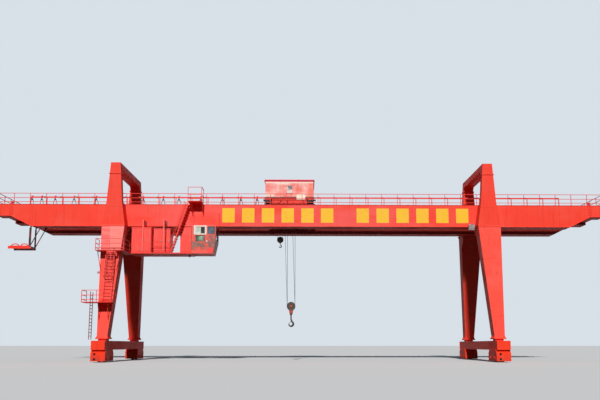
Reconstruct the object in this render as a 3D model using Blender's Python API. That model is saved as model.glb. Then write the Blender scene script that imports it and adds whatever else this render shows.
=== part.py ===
"""Double box-girder gantry crane with cantilevers, a scale model at 1:2.

Every length is in metres and is half of the real crane's. X runs along the girders, Y across them with the
front at -Y, and Z is up from the bottoms of the ground wheels.
"""

import math

import bmesh
import bpy
from mathutils import Matrix, Vector

# Seats and clearances
SEAT = 0.0003
RUNNING = 0.02

# Bridge girders
GIRDER_LENGTH = 28.3
GIRDER_BOTTOM = 6.17
GIRDER_DEPTH = 1.04
GIRDER_WIDTH = 0.75
GIRDER_GAP = 1.45
GIRDER_END_DEPTH = 0.555
TAPER_START = 12.525
END_SECTION_START = 13.5
FLANGE_LIP = 0.02
FLANGE_THICKNESS = 0.012
END_BEAM_WIDTH = 0.42
END_BEAM_DEPTH = 0.44

# Trolley rail
RAIL_GAUGE = 1.8
RAIL_HEIGHT = 0.08
RAIL_FOOT = 0.08
RAIL_HEAD = 0.045
RAIL_FLANGE = 0.01
RAIL_END_MARGIN = 0.35

# Legs, saddles and ground beams
SPAN = 17.16
LEG_TOP_WIDTH = 1.035
LEG_FOOT_WIDTH = 0.44
LEG_TOP_FACE = 2.1
LEG_FOOT_FACE = 3.15
LEG_TOP_THICKNESS = 0.62
LEG_FOOT_THICKNESS = 0.55
LEG_FLANGE_LIP = 0.06
LEG_FLANGE_THICKNESS = 0.03
LEG_FOOT_Z = 1.03
LEG_CORBEL_DROP = 0.55
LEG_CORBEL_REACH = 0.5
STUB_WIDTH = 0.36
STUB_THICKNESS = 0.42
SADDLE_TOP = 9.05
SADDLE_DEPTH = 0.3
SADDLE_NECK_WIDTH = 0.7
SADDLE_TOP_WIDTH = 0.44
SADDLE_POST_DEPTH = 0.3
SADDLE_CORNER = 0.12
SPLICE_DROP = 0.515
SPLICE_LIP = 0.03
SPLICE_THICKNESS = 0.03
GROUND_BEAM_LENGTH = 7.45
GROUND_BEAM_WIDTH = 0.585
GROUND_BEAM_BOTTOM = 0.525
GROUND_BEAM_DEPTH = 0.385
GROUND_BEAM_RIB = 0.02

# Bogies
BOGIE_CENTRE = 3.0
BOGIE_LENGTH = 1.36
BOGIE_WIDTH = 0.62
BOGIE_CLEARANCE = 0.05
BOGIE_SHOULDER = 0.14
BOGIE_WHEEL_BASE = 0.72
GROUND_WHEEL_RADIUS = 0.18
GROUND_WHEEL_WIDTH = 0.1
GROUND_AXLE_RADIUS = 0.05

# Handrails
RAILING_HEIGHT = 0.51
RAILING_MIDDLE = 0.3
RAILING_LOW = 0.11
RAILING_BAR = 0.022
RAILING_PITCH = 0.75
RAILING_INSET = 0.015

# Festoon track and cable
TRACK_LEFT = -13.7
TRACK_RIGHT = 13.08
TRACK_INSET = 0.145
TRACK_HEIGHT = 0.93
TRACK_BAR = 0.05
TRACK_POST = 0.03
TRACK_POST_PITCH = 0.815
CABLE_DIAMETER = 0.025
CABLE_TOP = 7.96
CABLE_LOW = 7.235
SADDLE_RADIUS = 0.055
CABLE_END = -1.7903
CARRIERS = (-13.6, -13.12, -12.45, -11.5, -10.39, -9.2, -8.03, -7.02, -6.23, -5.13, -4.04, -3.1, -2.28)

# Hung gallery with the electrical houses
GALLERY_FLOOR = 4.9
GALLERY_PLATE = 0.05
GALLERY_LEFT = -7.84
GALLERY_RIGHT = -5.035
GALLERY_FRONT = -1.85
GALLERY_REAR = -0.65
HOUSE_LEFT = (-7.815, -6.9)
HOUSE_RIGHT = (-6.885, -6.09)
HOUSE_LEFT_FRONT = -1.8
HOUSE_RIGHT_FRONT = -1.45
HOUSE_REAR = -0.68
HOUSE_TOP = 6.07
HOUSE_LIP = 0.015
HOUSE_LIP_HEIGHT = 0.04
STRAP_WIDTH = 0.05
STRAP_PLACES = (-7.28, -6.335)
STRAP_TOP = 6.42
BRACKET_DEPTH = 0.22
CABINET_X = (-5.65, -5.116)
CABINET_Y = (-1.46, -0.95)
CABINET_TOP = 6.15

# Operator cabin
CABIN_LEFT = -5.03
CABIN_RIGHT = -3.93
CABIN_CHIN = -4.06
CABIN_CHIN_Z = 5.42
CABIN_BOTTOM = 4.84
CABIN_TOP = 6.155
CABIN_FRONT = -2.0
CABIN_REAR = -0.9
CABIN_WALL = 0.03
GLASS = 0.008
SIDE_WINDOWS = ((-4.915, -4.347, 5.71, 6.09), (-4.29, -3.985, 5.746, 6.07), (-4.836, -4.442, 5.42, 5.66))
FRONT_WINDOW = (-1.9, -1.0, 5.5, 6.08)
HANGER_PLACES = (-5.03, -3.87)
HANGER_TOP = 6.78
HANGER_BAR = 0.05

# Stair to the girder top
STAIR_BOTTOM_X = -6.0
STAIR_TOP_X = -5.24
STAIR_FRONT = -1.84
STAIR_WIDTH = 0.3
STAIR_STEPS = 18
STAIR_STRINGER = 0.055
STAIR_PLATE = 0.012
TREAD_DEPTH = 0.15
LANDING_RIGHT = -4.594
LANDING_Z = 7.26
LANDING_FRONT = -2.1
LANDING_PLATE = 0.03
LANDING_RAIL = 0.65

# Platforms and ladders on the front left leg
LEG_PLATFORM_Z = 4.88
LEG_PLATFORM_LEFT = -9.1
LEG_PLATFORM_REAR = -1.2
LEG_PLATFORM_FRONT = -2.96
LADDER_WELL = 0.44
PLATFORM_PLATE = 0.03
LEG_KNEE_DROP = 0.85
LOWER_STRUT_DROP = 0.7
LOWER_STRUT_INSET = 0.3
LOWER_STRUT_SPREAD = 0.2
LOWER_PLATFORM_Z = 2.56
LOWER_PLATFORM_LEFT = -9.42
LOWER_PLATFORM_RIGHT = -8.13
LOWER_PLATFORM_REACH = 0.72
LADDER_X = -8.51
LADDER_WIDTH = 0.38
LADDER_BAR = 0.025
LADDER_STANDOFF = 0.14
RUNG_PITCH = 0.15
CAGE_RADIUS = 0.21
CAGE_STRETCH = 1.6
CAGE_START = 1.1
CAGE_PITCH = 0.4
CAGE_BAR = 0.012
LOWER_LADDER_X = -9.05
LOWER_WELL_WIDTH = 0.34
LOWER_WELL_MARGIN = 0.2
LOWER_LADDER_FOOT = 0.96

# Power collector frame under the left cantilever
COLLECTOR_LEFT = -13.54
COLLECTOR_POST_X = -12.57
COLLECTOR_BRACE_X = -12.08
COLLECTOR_Z = 5.19
COLLECTOR_BAR = 0.05
COLLECTOR_BRACE = (0.04, 0.03)
COLLECTOR_Y = (-1.42, -0.78)

# Floodlight
LAMP_CLEARANCE = 0.0525
LAMP_Z = 6.16
LAMP_WIDTH = 0.3
LAMP_HEIGHT = 0.3
LAMP_DEPTH = 0.16
LAMP_TILT = 35.0

# Trolley
TROLLEY_X = -0.608
DECK_LENGTH = 2.34
DECK_WIDTH = 2.2
DECK_BOTTOM = 7.56
DECK_THICKNESS = 0.08
CRADLE_CLEARANCE = 0.045
CRADLE_BOTTOM = 7.34
TROLLEY_WHEEL_RADIUS = 0.115
TROLLEY_WHEEL_WIDTH = 0.07
TROLLEY_FLANGE = 0.02
TROLLEY_AXLE_RADIUS = 0.04
TROLLEY_WHEEL_INSET = 0.16
BEARING_WIDTH = 0.05
BEARING_REACH = 0.08
BEARING_OFFSET = 0.16
HOUSE_LENGTH = 2.28
HOUSE_WIDTH = 2.1
TROLLEY_HOUSE_TOP = 8.45
ROOF_OVERHANG = 0.05
ROOF_THICKNESS = 0.05
PULLEY_Z = 7.8
PULLEY_SUPPORT = 0.03
SUPPORT_MARGIN = 0.05
SUPPORT_RISE = 0.09
ROPE_WELL = (-1.27, -0.29)
ROPE_WELL_WIDTH = 0.56
POCKET_TOP = 8.13
ARM_BAR = 0.04
ARM_CLEARANCE = 0.006

# Hoists
ROPE_RADIUS = 0.008
MAIN_X = -0.52
MAIN_SHEAVE_Z = 2.558
MAIN_PITCH_RADIUS = 0.185
MAIN_GROOVE_Y = 0.07
MAIN_PIN_RADIUS = 0.03
SHEAVE_RIM = 0.2
CHEEK_RADIUS = 0.205
CHEEK_THICKNESS = 0.02
CHEEK_DROP = 0.4
CHEEK_FOOT_WIDTH = 0.2
CROSSHEAD_HEIGHT = 0.1
DRUM_X = -0.615
DRUM_PITCH_RADIUS = 0.27
RETURN_PITCH_RADIUS = 0.1
AUX_X = -1.06
AUX_SHEAVE_Z = 5.76
AUX_PITCH_RADIUS = 0.125
AUX_BLOCK_RADIUS = 0.155
AUX_DRUM_PITCH_RADIUS = 0.12
SIDES = 16
HOOK_SHANK_RADIUS = 0.032
HOOK_NUT_RADIUS = 0.055
HOOK_BOWL = 0.105
HOOK_BACK = 0.425
HOOK_START = math.radians(62)
HOOK_SWEEP = math.radians(252)
HOOK_TIP = 0.14
HOOK_SWELL = 0.3
HOOK_OPENING = 0.04
HOOK_FLATNESS = 0.8
HOOK_BOTTOM = 1.575
AUX_HOOK_BOWL = 0.055
AUX_HOOK_BOTTOM = 5.37

# Colours, as linear red, green and blue, with roughness and metallic
RED = ("red paint", (0.87, 0.09, 0.05), 0.45, 0.0)
PINK = ("weathered paint", (0.75, 0.33, 0.28), 0.6, 0.0)
STEEL = ("rail steel", (0.3, 0.27, 0.25), 0.4, 1.0)
BLACK = ("black paint", (0.03, 0.03, 0.035), 0.5, 0.0)
RUBBER = ("cable sheath", (0.02, 0.025, 0.05), 0.6, 0.0)
ROPE = ("wire rope", (0.1, 0.09, 0.08), 0.5, 0.6)
PANE = ("window glass", (0.25, 0.35, 0.34), 0.1, 0.0)
LAMP = ("lamp housing", (0.5, 0.3, 0.27), 0.4, 0.3)

# Heights and faces that follow from the driving sizes
GIRDER_TOP = GIRDER_BOTTOM + GIRDER_DEPTH
GIRDER_INNER = GIRDER_GAP / 2
GIRDER_OUTER = GIRDER_INNER + GIRDER_WIDTH
GIRDER_CENTRE = (GIRDER_INNER + GIRDER_OUTER) / 2
HALF_LENGTH = GIRDER_LENGTH / 2
LEG_X = SPAN / 2
LAMP_X = LEG_X - LEG_TOP_WIDTH / 2 - LAMP_CLEARANCE - LAMP_WIDTH / 2
RAIL_TOP = GIRDER_TOP + SEAT + RAIL_HEIGHT
GROUND_BEAM_TOP = GROUND_BEAM_BOTTOM + GROUND_BEAM_DEPTH
DECK_TOP = DECK_BOTTOM + DECK_THICKNESS
TROLLEY_WHEEL_BASE = DECK_LENGTH - 2 * TROLLEY_WHEEL_INSET
CRADLE_LENGTH = TROLLEY_WHEEL_BASE - 2 * (TROLLEY_WHEEL_RADIUS + TROLLEY_FLANGE + CRADLE_CLEARANCE)
TRACK_UNDERSIDE = GIRDER_TOP + TRACK_HEIGHT - TRACK_BAR
TRACK_Y = GIRDER_OUTER - TRACK_INSET
CABLE_Y = TRACK_Y - TRACK_BAR / 2 - SEAT - CABLE_DIAMETER / 2
LEG_LEAN = math.atan((LEG_FOOT_FACE - LEG_TOP_FACE) / (GIRDER_BOTTOM - LEG_FOOT_Z))


def box(low, high):
    """A block between two corners, as points and faces."""
    points = [(x, y, z) for x in (low[0], high[0]) for y in (low[1], high[1]) for z in (low[2], high[2])]
    faces = [(0, 1, 3, 2), (4, 6, 7, 5), (0, 4, 5, 1), (2, 3, 7, 6), (0, 2, 6, 4), (1, 5, 7, 3)]
    return points, faces


def loft(rings):
    """Skins a row of closed rings with the same number of points, and caps both ends."""
    count = len(rings[0])
    points = [p for ring in rings for p in ring]
    faces = [tuple(range(count))]
    for r in range(len(rings) - 1):
        for i in range(count):
            j = (i + 1) % count
            faces.append((r * count + i, r * count + j, (r + 1) * count + j, (r + 1) * count + i))
    last = (len(rings) - 1) * count
    faces.append(tuple(range(last, last + count)))
    return points, faces


def rectangle(x0, x1, y0, y1, z):
    """A level ring of four corners."""
    return [(x0, y0, z), (x1, y0, z), (x1, y1, z), (x0, y1, z)]


def prism(outline, place, low, high):
    """An outline of (u, v) points pushed from low to high; place turns (u, v, w) into (x, y, z)."""
    return loft([[place(u, v, w) for u, v in outline] for w in (low, high)])


def along_x(u, v, w):
    """Outline in YZ, pushed along X."""
    return (w, u, v)


def along_y(u, v, w):
    """Outline in XZ, pushed along Y."""
    return (u, w, v)


def along_z(u, v, w):
    """Outline in XY, pushed along Z."""
    return (u, v, w)


def cells(us, vs, kept, place, low, high):
    """A flat slab cut into cells, of which only the kept ones are solid; kept takes a column and a row."""
    rows = len(vs)
    points = [place(u, v, w) for w in (low, high) for u in us for v in vs]
    layer = len(us) * rows
    filled = {(i, j) for i in range(len(us) - 1) for j in range(rows - 1) if kept(i, j)}
    faces = []
    for i, j in filled:
        a, b, c, d = i * rows + j, (i + 1) * rows + j, (i + 1) * rows + j + 1, i * rows + j + 1
        faces += [(a, b, c, d), (layer + d, layer + c, layer + b, layer + a)]
        sides = {(i, j - 1): (a, b), (i + 1, j): (b, c), (i, j + 1): (c, d), (i - 1, j): (d, a)}
        faces += [(p, q, layer + q, layer + p) for near, (p, q) in sides.items() if near not in filled]
    used = sorted({p for face in faces for p in face})
    order = {p: n for n, p in enumerate(used)}
    return [points[p] for p in used], [tuple(order[p] for p in face) for face in faces]


def turned(profile, centre, sides=SIDES, place=along_y):
    """A closed outline of (radius, height) points turned about an axis along Y, or another with place."""
    points, faces = [], []
    for s in range(sides):
        angle = 2 * math.pi * s / sides
        for radius, height in profile:
            x, y, z = place(radius * math.cos(angle), radius * math.sin(angle), height)
            points.append((centre[0] + x, centre[1] + y, centre[2] + z))
    count = len(profile)
    for s in range(sides):
        t = (s + 1) % sides
        for i in range(count):
            j = (i + 1) % count
            faces.append((s * count + i, s * count + j, t * count + j, t * count + i))
    return points, faces


def round_bar(profile, centre, sides=SIDES, place=along_y, start=0.0):
    """A solid of round sections, (radius, height) along an axis through the centre, with flat ends."""
    rings = []
    for radius, height in profile:
        ring = []
        for i in range(sides):
            angle = start + 2 * math.pi * i / sides
            x, y, z = place(radius * math.cos(angle), radius * math.sin(angle), height)
            ring.append((centre[0] + x, centre[1] + y, centre[2] + z))
        rings.append(ring)
    return loft(rings)


def rod(start, end, radius, sides=12):
    """A round bar between two points."""
    a, b = Vector(start), Vector(end)
    axis = (b - a).normalized()
    side = axis.orthogonal().normalized()
    other = axis.cross(side)
    angles = [2 * math.pi * i / sides for i in range(sides)]
    ring = [radius * (math.cos(t) * side + math.sin(t) * other) for t in angles]
    return loft([[tuple(a + p) for p in ring], [tuple(b + p) for p in ring]])


def bore_of(radius):
    """The corner radius of a faceted bore whose flats just clear a round shaft."""
    return (radius + SEAT) / math.cos(math.pi / SIDES)


def bar(start, end, width, depth):
    """A straight flat bar between two points; width is level and depth is across it."""
    a, b = Vector(start), Vector(end)
    axis = (b - a).normalized()
    up = Vector((0, 0, 1)) if abs(axis.z) < 0.9 else Vector((0, 1, 0))
    side = axis.cross(up).normalized() * width / 2
    other = axis.cross(side).normalized() * depth / 2
    ring = [side + other, other - side, -side - other, side - other]
    return loft([[tuple(a + p) for p in ring], [tuple(b + p) for p in ring]])


def leaned(shape, angle, pivot):
    """A shape turned about an X line through the pivot."""
    turn = Matrix.Translation(pivot) @ Matrix.Rotation(angle, 4, "X") @ Matrix.Translation(-Vector(pivot))
    return [tuple(turn @ Vector(p)) for p in shape[0]], shape[1]


def joined(shapes):
    """Several shapes in one list of points and faces."""
    points, faces = [], []
    for more, skin in shapes:
        start = len(points)
        points += more
        faces += [tuple(start + i for i in face) for face in skin]
    return points, faces


def mesh_of(name, shape):
    """A mesh with its faces turned outward."""
    mesh = bpy.data.meshes.new(name)
    mesh.from_pydata(shape[0], [], shape[1])
    skin = bmesh.new()
    skin.from_mesh(mesh)
    bmesh.ops.recalc_face_normals(skin, faces=skin.faces)
    skin.to_mesh(mesh)
    skin.free()
    return mesh


def finish(name, finish_of):
    """A Principled material with one colour, roughness and metallic value."""
    label, colour, roughness, metallic = finish_of
    material = bpy.data.materials.get(label)
    if material is None:
        material = bpy.data.materials.new(label)
        material.use_nodes = True
        shader = material.node_tree.nodes["Principled BSDF"]
        shader.inputs["Base Color"].default_value = (*colour, 1.0)
        shader.inputs["Roughness"].default_value = roughness
        shader.inputs["Metallic"].default_value = metallic
    bpy.data.objects[name].data.materials.append(material)


def piece(name, shape, paint, body, smooth=False):
    """One named piece of the crane, hung on the empty of the body that it moves with."""
    thing = bpy.data.objects.new(name, mesh_of(name, shape))
    bpy.context.collection.objects.link(thing)
    finish(name, paint)
    if smooth:
        thing.data.shade_smooth()
        thing.data.set_sharp_from_angle(angle=math.radians(35))
    thing.parent = body
    thing.matrix_parent_inverse = body.matrix_world.inverted()
    return thing


def helper(name, shape):
    """A hidden shape that a Boolean works with."""
    tool = bpy.data.objects.new(name, mesh_of(name, shape))
    bpy.context.collection.objects.link(tool)
    tool.hide_render = True
    tool.display_type = "WIRE"
    return tool


def weld(thing, shapes):
    """Fuses more shapes onto a piece."""
    step = thing.modifiers.new("weld", "BOOLEAN")
    step.operation = "UNION"
    step.solver = "EXACT"
    step.use_self = True
    step.object = helper(thing.name + "_welded", joined(shapes))


def cut(thing, shapes):
    """Takes shapes out of a piece."""
    step = thing.modifiers.new("cut", "BOOLEAN")
    step.operation = "DIFFERENCE"
    step.solver = "EXACT"
    step.use_self = True
    step.object = helper(thing.name + "_cut", joined(shapes))


def empty(name, place, parent=None):
    """An empty on a joint's axis, which carries what moves with it."""
    holder = bpy.data.objects.new(name, None)
    bpy.context.collection.objects.link(holder)
    holder.location = place
    if parent:
        holder.parent = parent
        holder.matrix_parent_inverse = parent.matrix_world.inverted()
    bpy.context.view_layer.update()
    return holder


def stops(first, last, pitch):
    """Places from first to last, evenly spaced at about the pitch."""
    count = max(1, round((last - first) / pitch))
    return [first + (last - first) * i / count for i in range(count + 1)]


def railing(first, last, across, foot, place, height=RAILING_HEIGHT):
    """A handrail panel of posts and three rails, in one plane."""
    posts = stops(first + RAILING_BAR / 2, last - RAILING_BAR / 2, RAILING_PITCH)
    us = [p + s * RAILING_BAR / 2 for p in posts for s in (-1, 1)]
    levels = (RAILING_LOW, RAILING_MIDDLE, height)
    vs = [foot] + [foot + h + s * RAILING_BAR / 2 for h in levels for s in (-1, 1)]
    low, high = across - RAILING_BAR / 2, across + RAILING_BAR / 2
    return cells(us, vs, lambda i, j: i % 2 == 0 or j % 2 == 1, place, low, high)


def girder_section(x, bottom):
    """Box girder section with lips on its flange plates, centred on Y 0."""
    lip, web = GIRDER_WIDTH / 2, GIRDER_WIDTH / 2 - FLANGE_LIP
    low, high = bottom + FLANGE_THICKNESS, GIRDER_TOP - FLANGE_THICKNESS
    half = [(lip, GIRDER_TOP), (lip, high), (web, high), (web, low), (lip, low), (lip, bottom)]
    return [(x, y, z) for y, z in half + [(-y, z) for y, z in reversed(half)]]


def girder(name, side, body):
    """One box girder, its bottom rising to the shallow end sections."""
    stations = [
        (-HALF_LENGTH, GIRDER_TOP - GIRDER_END_DEPTH),
        (-END_SECTION_START, GIRDER_TOP - GIRDER_END_DEPTH),
        (-TAPER_START, GIRDER_BOTTOM),
        (TAPER_START, GIRDER_BOTTOM),
        (END_SECTION_START, GIRDER_TOP - GIRDER_END_DEPTH),
        (HALF_LENGTH, GIRDER_TOP - GIRDER_END_DEPTH),
    ]
    rings = [girder_section(x, bottom) for x, bottom in stations]
    points, faces = loft(rings)
    moved = [(x, y + side * GIRDER_CENTRE, z) for x, y, z in points]
    piece(name, (moved, faces), RED, body)


def end_beam(name, side, body):
    """The cross beam that ties the two girders at one end."""
    outer = side * (HALF_LENGTH - 2 * FLANGE_LIP)
    inner = outer - side * END_BEAM_WIDTH
    reach = GIRDER_INNER - SEAT
    high = GIRDER_TOP - FLANGE_THICKNESS
    low = high - END_BEAM_DEPTH
    piece(name, box((min(inner, outer), -reach, low), (max(inner, outer), reach, high)), RED, body)


def trolley_rail(name, side, body):
    """A crane rail with foot, web and head, on top of a girder."""
    foot, head, web = RAIL_FOOT / 2, RAIL_HEAD / 2, RAIL_HEAD / 4
    low = GIRDER_TOP + SEAT
    half = [(foot, low), (foot, low + RAIL_FLANGE), (web, low + 2 * RAIL_FLANGE)]
    half += [(web, RAIL_TOP - 3 * RAIL_FLANGE), (head, RAIL_TOP - 2.5 * RAIL_FLANGE), (head, RAIL_TOP)]
    outline = half + [(-y, z) for y, z in reversed(half)]
    outline = [(y + side * RAIL_GAUGE / 2, z) for y, z in outline]
    reach = HALF_LENGTH - RAIL_END_MARGIN
    piece(name, prism(outline, along_x, -reach, reach), STEEL, body)


def leg(name, end, side, body):
    """A tapered box leg that leans outward, with a flange at its foot and a corbel under the girder."""
    def ring(z, half_width, face, thickness, grow=0.0):
        faces = sorted((side * (face + grow), side * (face - thickness - grow)))
        x = end * LEG_X
        return rectangle(x - half_width - grow, x + half_width + grow, *faces, z)

    top, low = GIRDER_BOTTOM - SEAT, LEG_FOOT_Z
    middle = LEG_FOOT_FACE - LEG_FOOT_THICKNESS / 2 + STUB_THICKNESS / 2
    foot = (LEG_FOOT_WIDTH / 2, LEG_FOOT_FACE, LEG_FOOT_THICKNESS)
    head = (LEG_TOP_WIDTH / 2, LEG_TOP_FACE, LEG_TOP_THICKNESS)
    under = low - LEG_FLANGE_THICKNESS
    share = LEG_CORBEL_DROP / (top - low)
    neck = tuple(a + (b - a) * share for a, b in zip(head, foot))
    corbel = (head[0], head[1], head[2] + LEG_CORBEL_REACH)
    rings = [
        ring(GROUND_BEAM_TOP + SEAT, STUB_WIDTH / 2, middle, STUB_THICKNESS),
        ring(under, STUB_WIDTH / 2, middle, STUB_THICKNESS),
        ring(under, *foot, LEG_FLANGE_LIP),
        ring(low, *foot, LEG_FLANGE_LIP),
        ring(low, *foot),
        ring(top - LEG_CORBEL_DROP, *neck),
        ring(top, *corbel),
    ]
    piece(name, loft(rings), RED, body)


def saddle(name, end, body):
    """The arch over the girders: two tapered posts, thinner above them, and a cross box with flanges."""
    inner = GIRDER_OUTER + SEAT
    post = LEG_TOP_FACE - SADDLE_POST_DEPTH
    low = GIRDER_BOTTOM + SEAT
    under = SADDLE_TOP - SADDLE_DEPTH
    outline = [
        (-LEG_TOP_FACE, low),
        (-LEG_TOP_FACE, GIRDER_TOP),
        (-LEG_TOP_FACE, SADDLE_TOP),
        (LEG_TOP_FACE, SADDLE_TOP),
        (LEG_TOP_FACE, GIRDER_TOP),
        (LEG_TOP_FACE, low),
        (inner, low),
        (inner, GIRDER_TOP),
        (post, GIRDER_TOP),
        (post, under - SADDLE_CORNER),
        (post - SADDLE_CORNER, under),
        (SADDLE_CORNER - post, under),
        (-post, under - SADDLE_CORNER),
        (-post, GIRDER_TOP),
        (-inner, GIRDER_TOP),
        (-inner, low),
    ]
    count = len(outline)
    sides = [(0, 1, 13, 14, 15), (4, 5, 6, 7, 8), (1, 2, 3, 4, 8, 9, 10, 11, 12, 13)]

    def half(z):
        """Half the width along X, which narrows faster beside the girder than over it."""
        if z < GIRDER_TOP:
            share = (GIRDER_TOP - z) / (GIRDER_TOP - low)
            return (SADDLE_NECK_WIDTH + share * (LEG_TOP_WIDTH - SADDLE_NECK_WIDTH)) / 2
        share = (z - GIRDER_TOP) / (SADDLE_TOP - GIRDER_TOP)
        return (SADDLE_NECK_WIDTH + share * (SADDLE_TOP_WIDTH - SADDLE_NECK_WIDTH)) / 2

    x = end * LEG_X
    points = [(x + s * half(z), y, z) for s in (-1, 1) for y, z in outline]
    faces = [(i, (i + 1) % count, (i + 1) % count + count, i + count) for i in range(count)]
    faces += [tuple(i + layer for i in side) for side in sides for layer in (0, count)]
    thing = piece(name, (points, faces), RED, body)
    splice = SADDLE_TOP - SPLICE_DROP
    reach = half(splice) + SPLICE_LIP
    collars = []
    for side in (-1, 1):
        near, far = side * (post - SADDLE_CORNER / 2), side * (LEG_TOP_FACE + SPLICE_LIP)
        low_corner = (x - reach, min(near, far), splice - SPLICE_THICKNESS / 2)
        high_corner = (x + reach, max(near, far), splice + SPLICE_THICKNESS / 2)
        collars.append(box(low_corner, high_corner))
    weld(thing, collars)


def ground_beam(name, end, body):
    """The box beam at the feet of a leg pair, with a thicker plate at each end."""
    half = GROUND_BEAM_LENGTH / 2
    wide = GROUND_BEAM_WIDTH / 2
    x = end * LEG_X

    def ring(y, grow):
        low, high = GROUND_BEAM_BOTTOM, GROUND_BEAM_TOP
        reach = wide - GROUND_BEAM_RIB + grow
        return [(x - reach, y, low), (x + reach, y, low), (x + reach, y, high), (x - reach, y, high)]

    step = GROUND_BEAM_RIB
    rings = [ring(-half, step), ring(step - half, step), ring(step - half, 0.0)]
    rings += [ring(half - step, 0.0), ring(half - step, step), ring(half, step)]
    piece(name, loft(rings), RED, body)


def bogie(name, end, side, body):
    """A truck under a ground beam's end: two wheels between its cheeks, on axles that join them."""
    x, y = end * LEG_X, side * BOGIE_CENTRE
    half = BOGIE_LENGTH / 2
    high = GROUND_BEAM_BOTTOM - SEAT
    outline = [
        (y - half, BOGIE_CLEARANCE),
        (y - half, high - BOGIE_SHOULDER),
        (y - half + BOGIE_SHOULDER, high),
        (y + half - BOGIE_SHOULDER, high),
        (y + half, high - BOGIE_SHOULDER),
        (y + half, BOGIE_CLEARANCE),
    ]
    thing = piece(name, prism(outline, along_x, x - BOGIE_WIDTH / 2, x + BOGIE_WIDTH / 2), RED, body)
    slots, wheels = [], []
    reach = GROUND_WHEEL_WIDTH / 2 + RUNNING
    room = GROUND_WHEEL_RADIUS + RUNNING
    for s in (-1, 1):
        wheel_y = y + s * BOGIE_WHEEL_BASE / 2
        slots.append(box((x - reach, wheel_y - room, 0.0), (x + reach, wheel_y + room, room * 2)))
        centre = Vector((x, wheel_y, GROUND_WHEEL_RADIUS))
        angles = [math.pi * (2 * i + 1) / SIDES for i in range(SIDES)]
        radius = GROUND_WHEEL_RADIUS / math.cos(math.pi / SIDES)
        disc = [(wheel_y + radius * math.cos(a), centre.z + radius * math.sin(a)) for a in angles]
        wheels.append(prism(disc, along_x, x - GROUND_WHEEL_WIDTH / 2, x + GROUND_WHEEL_WIDTH / 2))
        span = Vector((BOGIE_WIDTH / 2 + RUNNING, 0, 0))
        wheels.append(rod(centre - span, centre + span, GROUND_AXLE_RADIUS, SIDES // 2))
    cut(thing, slots)
    weld(thing, wheels)


def girder_handrail(name, side, body):
    """The long handrail on a girder's outer edge."""
    reach = HALF_LENGTH - RAILING_INSET
    across = side * (GIRDER_OUTER - RAILING_INSET)
    panel = railing(-reach, reach, across, GIRDER_TOP + SEAT, along_y)
    piece(name, panel, RED, body)


def end_handrail(name, end, body):
    """The handrail across one end of the bridge, standing on the end beam and the girders."""
    reach = GIRDER_OUTER - RAILING_INSET - RAILING_BAR / 2 - SEAT
    across = end * (HALF_LENGTH - RAILING_INSET - RAILING_BAR / 2)
    panel = railing(-reach, reach, across, GIRDER_TOP + SEAT, along_x)
    piece(name, panel, RED, body)


def festoon_track(name, body):
    """The beam that the cable carriers run on, on posts along the rear girder."""
    posts = stops(TRACK_LEFT + TRACK_POST / 2, TRACK_RIGHT - TRACK_POST / 2, TRACK_POST_PITCH)
    us = [p + s * TRACK_POST / 2 for p in posts for s in (-1, 1)]
    vs = [GIRDER_TOP + SEAT, TRACK_UNDERSIDE, TRACK_UNDERSIDE + TRACK_BAR]
    low, high = TRACK_Y - TRACK_BAR / 2, TRACK_Y + TRACK_BAR / 2
    piece(name, cells(us, vs, lambda i, j: i % 2 == 0 or j == 1, along_y, low, high), RED, body)


def hanging(first, last, sag, count):
    """Points of a hanging chain between two level supports, even along its length, without its ends."""
    low, high = 0.01, 12.0
    for _ in range(60):
        k = (low + high) / 2
        if (math.cosh(k) - 1) / (2 * k) < sag / (last - first):
            low = k
        else:
            high = k
    scale = (last - first) / (2 * k)
    places = []
    for i in range(count):
        u = -1 + 2 * i / (count - 1)
        x = math.asinh(u * math.sinh(k))
        places.append(((first + last) / 2 + scale * x, scale * (math.cosh(x) - math.cosh(k))))
    return places


def festoon_cable(name, body):
    """The round festoon cable: a hanging loop between each pair of carriers, over a round saddle at each."""
    ends = (*CARRIERS, CABLE_END - SADDLE_RADIUS)
    points = [(CARRIERS[0], CABLE_Y, CABLE_TOP + SADDLE_RADIUS)]
    for first, last in zip(ends, ends[1:]):
        loop = hanging(first + SADDLE_RADIUS, last - SADDLE_RADIUS, CABLE_TOP - CABLE_LOW, 5)
        points += [(x, CABLE_Y, CABLE_TOP + z) for x, z in loop]
        points.append((last, CABLE_Y, CABLE_TOP + SADDLE_RADIUS))
    points.append((CABLE_END, CABLE_Y, CABLE_TOP + SADDLE_RADIUS))
    tube(name, points, CABLE_DIAMETER / 2, RUBBER, body)


def tube(name, points, radius, paint, body):
    """A round cord along a row of points, as a curve with filled ends."""
    curve = bpy.data.curves.new(name, "CURVE")
    curve.dimensions = "3D"
    curve.bevel_depth = radius
    curve.bevel_resolution = 2
    curve.use_fill_caps = True
    line = curve.splines.new("POLY")
    line.points.add(len(points) - 1)
    for point, place in zip(line.points, points):
        point.co = (*place, 1.0)
    thing = bpy.data.objects.new(name, curve)
    bpy.context.collection.objects.link(thing)
    finish(name, paint)
    thing.parent = body
    thing.matrix_parent_inverse = body.matrix_world.inverted()


def electrical_house(name, span, front, body):
    """A closed switchgear housing with a base skirt and a lipped roof, standing on the gallery."""
    low, high = GALLERY_FLOOR + SEAT, HOUSE_TOP

    def ring(z, inset):
        return rectangle(span[0] + inset, span[1] - inset, front + inset, HOUSE_REAR - inset, z)

    levels = [
        ring(low, 0.0),
        ring(low + HOUSE_LIP_HEIGHT, 0.0),
        ring(low + HOUSE_LIP_HEIGHT, HOUSE_LIP),
        ring(high - HOUSE_LIP_HEIGHT, HOUSE_LIP),
        ring(high - HOUSE_LIP_HEIGHT, 0.0),
        ring(high, 0.0),
    ]
    piece(name, loft(levels), RED, body)


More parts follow.
